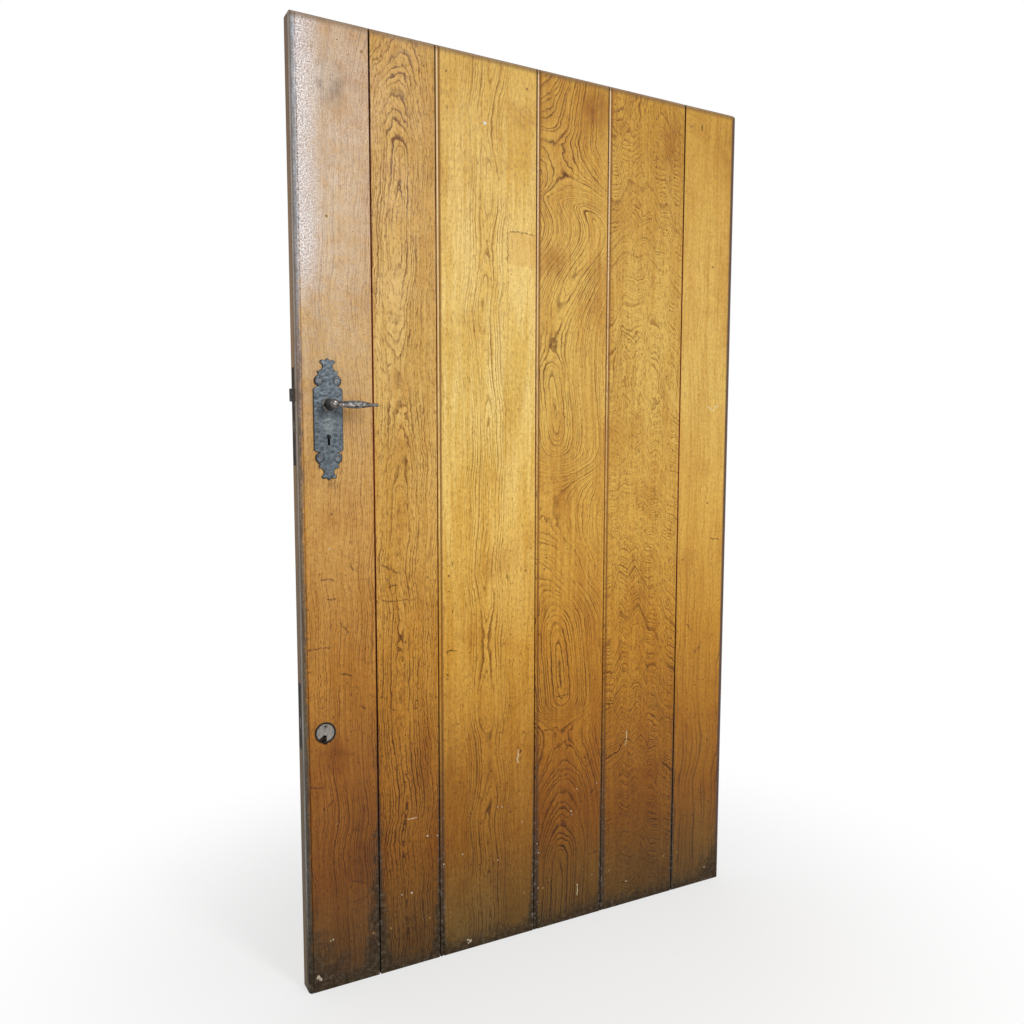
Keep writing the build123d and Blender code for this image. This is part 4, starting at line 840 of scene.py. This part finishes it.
# Dirt and painted shade in the hollows and along the rim, from the plate's own attribute
dirt = node("Attribute", attribute_name="dirt").outputs["Fac"]
dirt = node("Math", dirt, 0.8, operation="MULTIPLY")
colour = node("Mix", dirt, colour, "#1C2023", data_type="RGBA")
pits = node("TexNoise", whole, 1 / 1.6, 2.0)
relief = node("Bump", {"Height": pits, "Strength": 0.5, "Distance": PIT_DEPTH})
shader = node("BsdfPrincipled", {
    "Base Color": colour, "Metallic": 0.85, "Roughness": 0.46, "Normal": relief})
node("OutputMaterial", shader)
for side, (out, face) in plate_sides.items():
    halves, grime_and_shade_parts, facets = [], [], []
    for hand in (1, -1):
        tall, grime_and_shade = plate_face(hand * half_x, rise_z, rim_gap)
        flat_x = np.stack((half_x[:, -1], half_x[:, 0]), 1)
        flat_z = np.stack((rise_z[:, -1], rise_z[:, 0]), 1)
        points = np.stack((PLATE_X + hand * np.concatenate((half_x, flat_x), 1),
                           face + out * np.concatenate((tall, np.zeros_like(flat_x)), 1),
                           PLATE_Z + np.concatenate((rise_z, flat_z), 1)), -1)
        halves.append(points.reshape(-1, 3))
        grime_and_shade_parts.append(np.concatenate((grime_and_shade, np.zeros_like(flat_x)), 1).ravel())
        facets.append((strips if hand * out < 0 else strips[:, ::-1]) + rows * loop * len(facets))
    # The two halves join where their points meet on the middle line
    points = np.concatenate(halves)
    _, first, same = np.unique(np.round(points, 4), axis=0, return_index=True, return_inverse=True)
    facets = same.ravel()[np.concatenate(facets)]
    facets = [list(dict.fromkeys(facet)) for facet in facets.tolist()]
    facets = [facet for facet in facets if len(facet) > 2]
    hammered_plate = new_piece(f"hammered_plate_{side}", points[first] * MM, facets, iron_finish)
    plate_mesh = hammered_plate.data
    plate_mesh.polygons.foreach_set("use_smooth", np.ones(len(plate_mesh.polygons), bool))
    plate_mesh.set_sharp_from_angle(angle=np.radians(SHARP_TURN))
    shaded_hollows = plate_mesh.attributes.new("dirt", "FLOAT", "POINT")
    shaded_hollows.data.foreach_set("value", np.concatenate(grime_and_shade_parts)[first])
    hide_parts(f"{side}_plate")
    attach(hammered_plate, "leaf")
# The levers are polished by hands, and the screws worn by drivers
lever_finish = aged_metal("hand_polished_wrought_iron", "#2E2C2A", "#8C8884", 7, 6, 0.9, 0.3, 0.95)
dress(lever_finish, "front_lever", "back_lever")
screw_finish = aged_metal("worn_slotted_steel", "#4C4E50", "#807C7C", 2.5, 2, 0.15, 0.42)
dress(screw_finish, "plate_screws", "lever_pins", "hinge_screws", "lock_cover_screws", "lower_cover_screws")

# Lower roses: a turned ring of black iron round a bright nickelled disc that is notched for the key.
# A small pin holds the disc, and the rose is pressed into the board.
ring_finish = aged_metal("black_iron_ring", "#1C1A19", "#3A3735", 5, 4, 0.2, 0.5)
disc_finish = aged_metal("satin_nickelled_disc", "#7A746E", "#A09A93", 5, 3, 0.05, 0.38)
for side in ("front", "back"):
    dress(ring_finish, f"{side}_rose_ring", f"{side}_rose_pin")
    dress(disc_finish, f"{side}_rose_disc")

# Hinges: lift-off halves, each a leaf of wrought iron rolled into a knuckle at one side.
# They are let into the hanging edge, held by screws and never painted, so they have gone dull.
hinge_finish = aged_metal("dull_hinge_iron", "#262422", "#4C4844", 12, 8, 0.3, 0.55)
dress(hinge_finish, "hinge_bottom", "hinge_middle", "hinge_top")

# Floor: a plain white studio floor that keeps a soft shadow near the leaf and runs out to white.
FLOOR_REACH, FLOOR_DROP = 30.0, 0.0005
corners = np.array([(-1, -1, 0), (1, -1, 0), (1, 1, 0), (-1, 1, 0)]) * FLOOR_REACH - (0, 0, FLOOR_DROP)


def seen_rays(node):
    """1 for rays from the camera, straight, mirrored or through glass, and 0 for the rest."""
    rays = node("LightPath").outputs
    seen = node("Math", rays["Is Camera Ray"], rays["Is Glossy Ray"], operation="MAXIMUM")
    return node("Math", seen, rays["Is Transmission Ray"], operation="MAXIMUM")


floor_finish, node = blank_material("white_studio_floor")
place = node("TexCoord").outputs["Object"]
away = node("VectorMath", place, operation="LENGTH")
away = node("MapRange", away, 0.4, 1.4, 0.6, interpolation_type="SMOOTHSTEP")
white_share = node("Math", away, seen_rays(node), operation="MULTIPLY")
matt = node("BsdfDiffuse", "#F4F4F4")
glow = node("Emission", {"Strength": 1.0})
blend = node("MixShader", white_share, matt, glow)
node("OutputMaterial", blend)
floor = new_piece("floor", corners, [(0, 1, 2, 3)], floor_finish)

# Light: an even white surround and one broad lamp above, in front and to the right.
world = bpy.data.worlds.new("white_surround")
bpy.context.scene.world = world
world.use_nodes = True
world.node_tree.nodes.clear()
node = partial(add, world.node_tree)
strength = node("MapRange", seen_rays(node), 0, 1, 0.55, 1.0)
surround = node("Background", "#FFFFFF", strength)
node("OutputWorld", surround)

lamp = bpy.data.lights.new("soft_lamp", "AREA")
lamp.shape = "RECTANGLE"
lamp.size, lamp.size_y = 0.6, 1.6
lamp.energy = 50.0
lamp_object = bpy.data.objects.new("soft_lamp", lamp)
bpy.context.scene.collection.objects.link(lamp_object)
lamp_object.location = (0.36, -2.92, 2.59)
lamp_aim = Vector((0.0, 0.0, 1.3))
lamp_object.rotation_mode = "QUATERNION"
lamp_object.rotation_quaternion = (lamp_aim - lamp_object.location).to_track_quat("-Z", "Y")

# Camera: at eye height beyond the closing edge, looking across the leaf.
camera = bpy.data.cameras.new("camera")
camera.sensor_width = 36.0
camera.lens = 32.444
camera.shift_x, camera.shift_y = -0.0371, 0.028
camera_object = bpy.data.objects.new("camera", camera)
bpy.context.scene.collection.objects.link(camera_object)
camera_object.location = (-1.0534, -1.8887, 1.1595)
camera_aim = Vector((0.0242, -0.0225, 0.9468))
camera_roll = np.radians(0.33)
camera_object.rotation_mode = "QUATERNION"
straight = (camera_aim - camera_object.location).to_track_quat("-Z", "Y")
camera_object.rotation_quaternion = straight @ Quaternion((0, 0, 1), camera_roll)
bpy.context.scene.camera = camera_object
bpy.context.scene.view_settings.view_transform = "Standard"
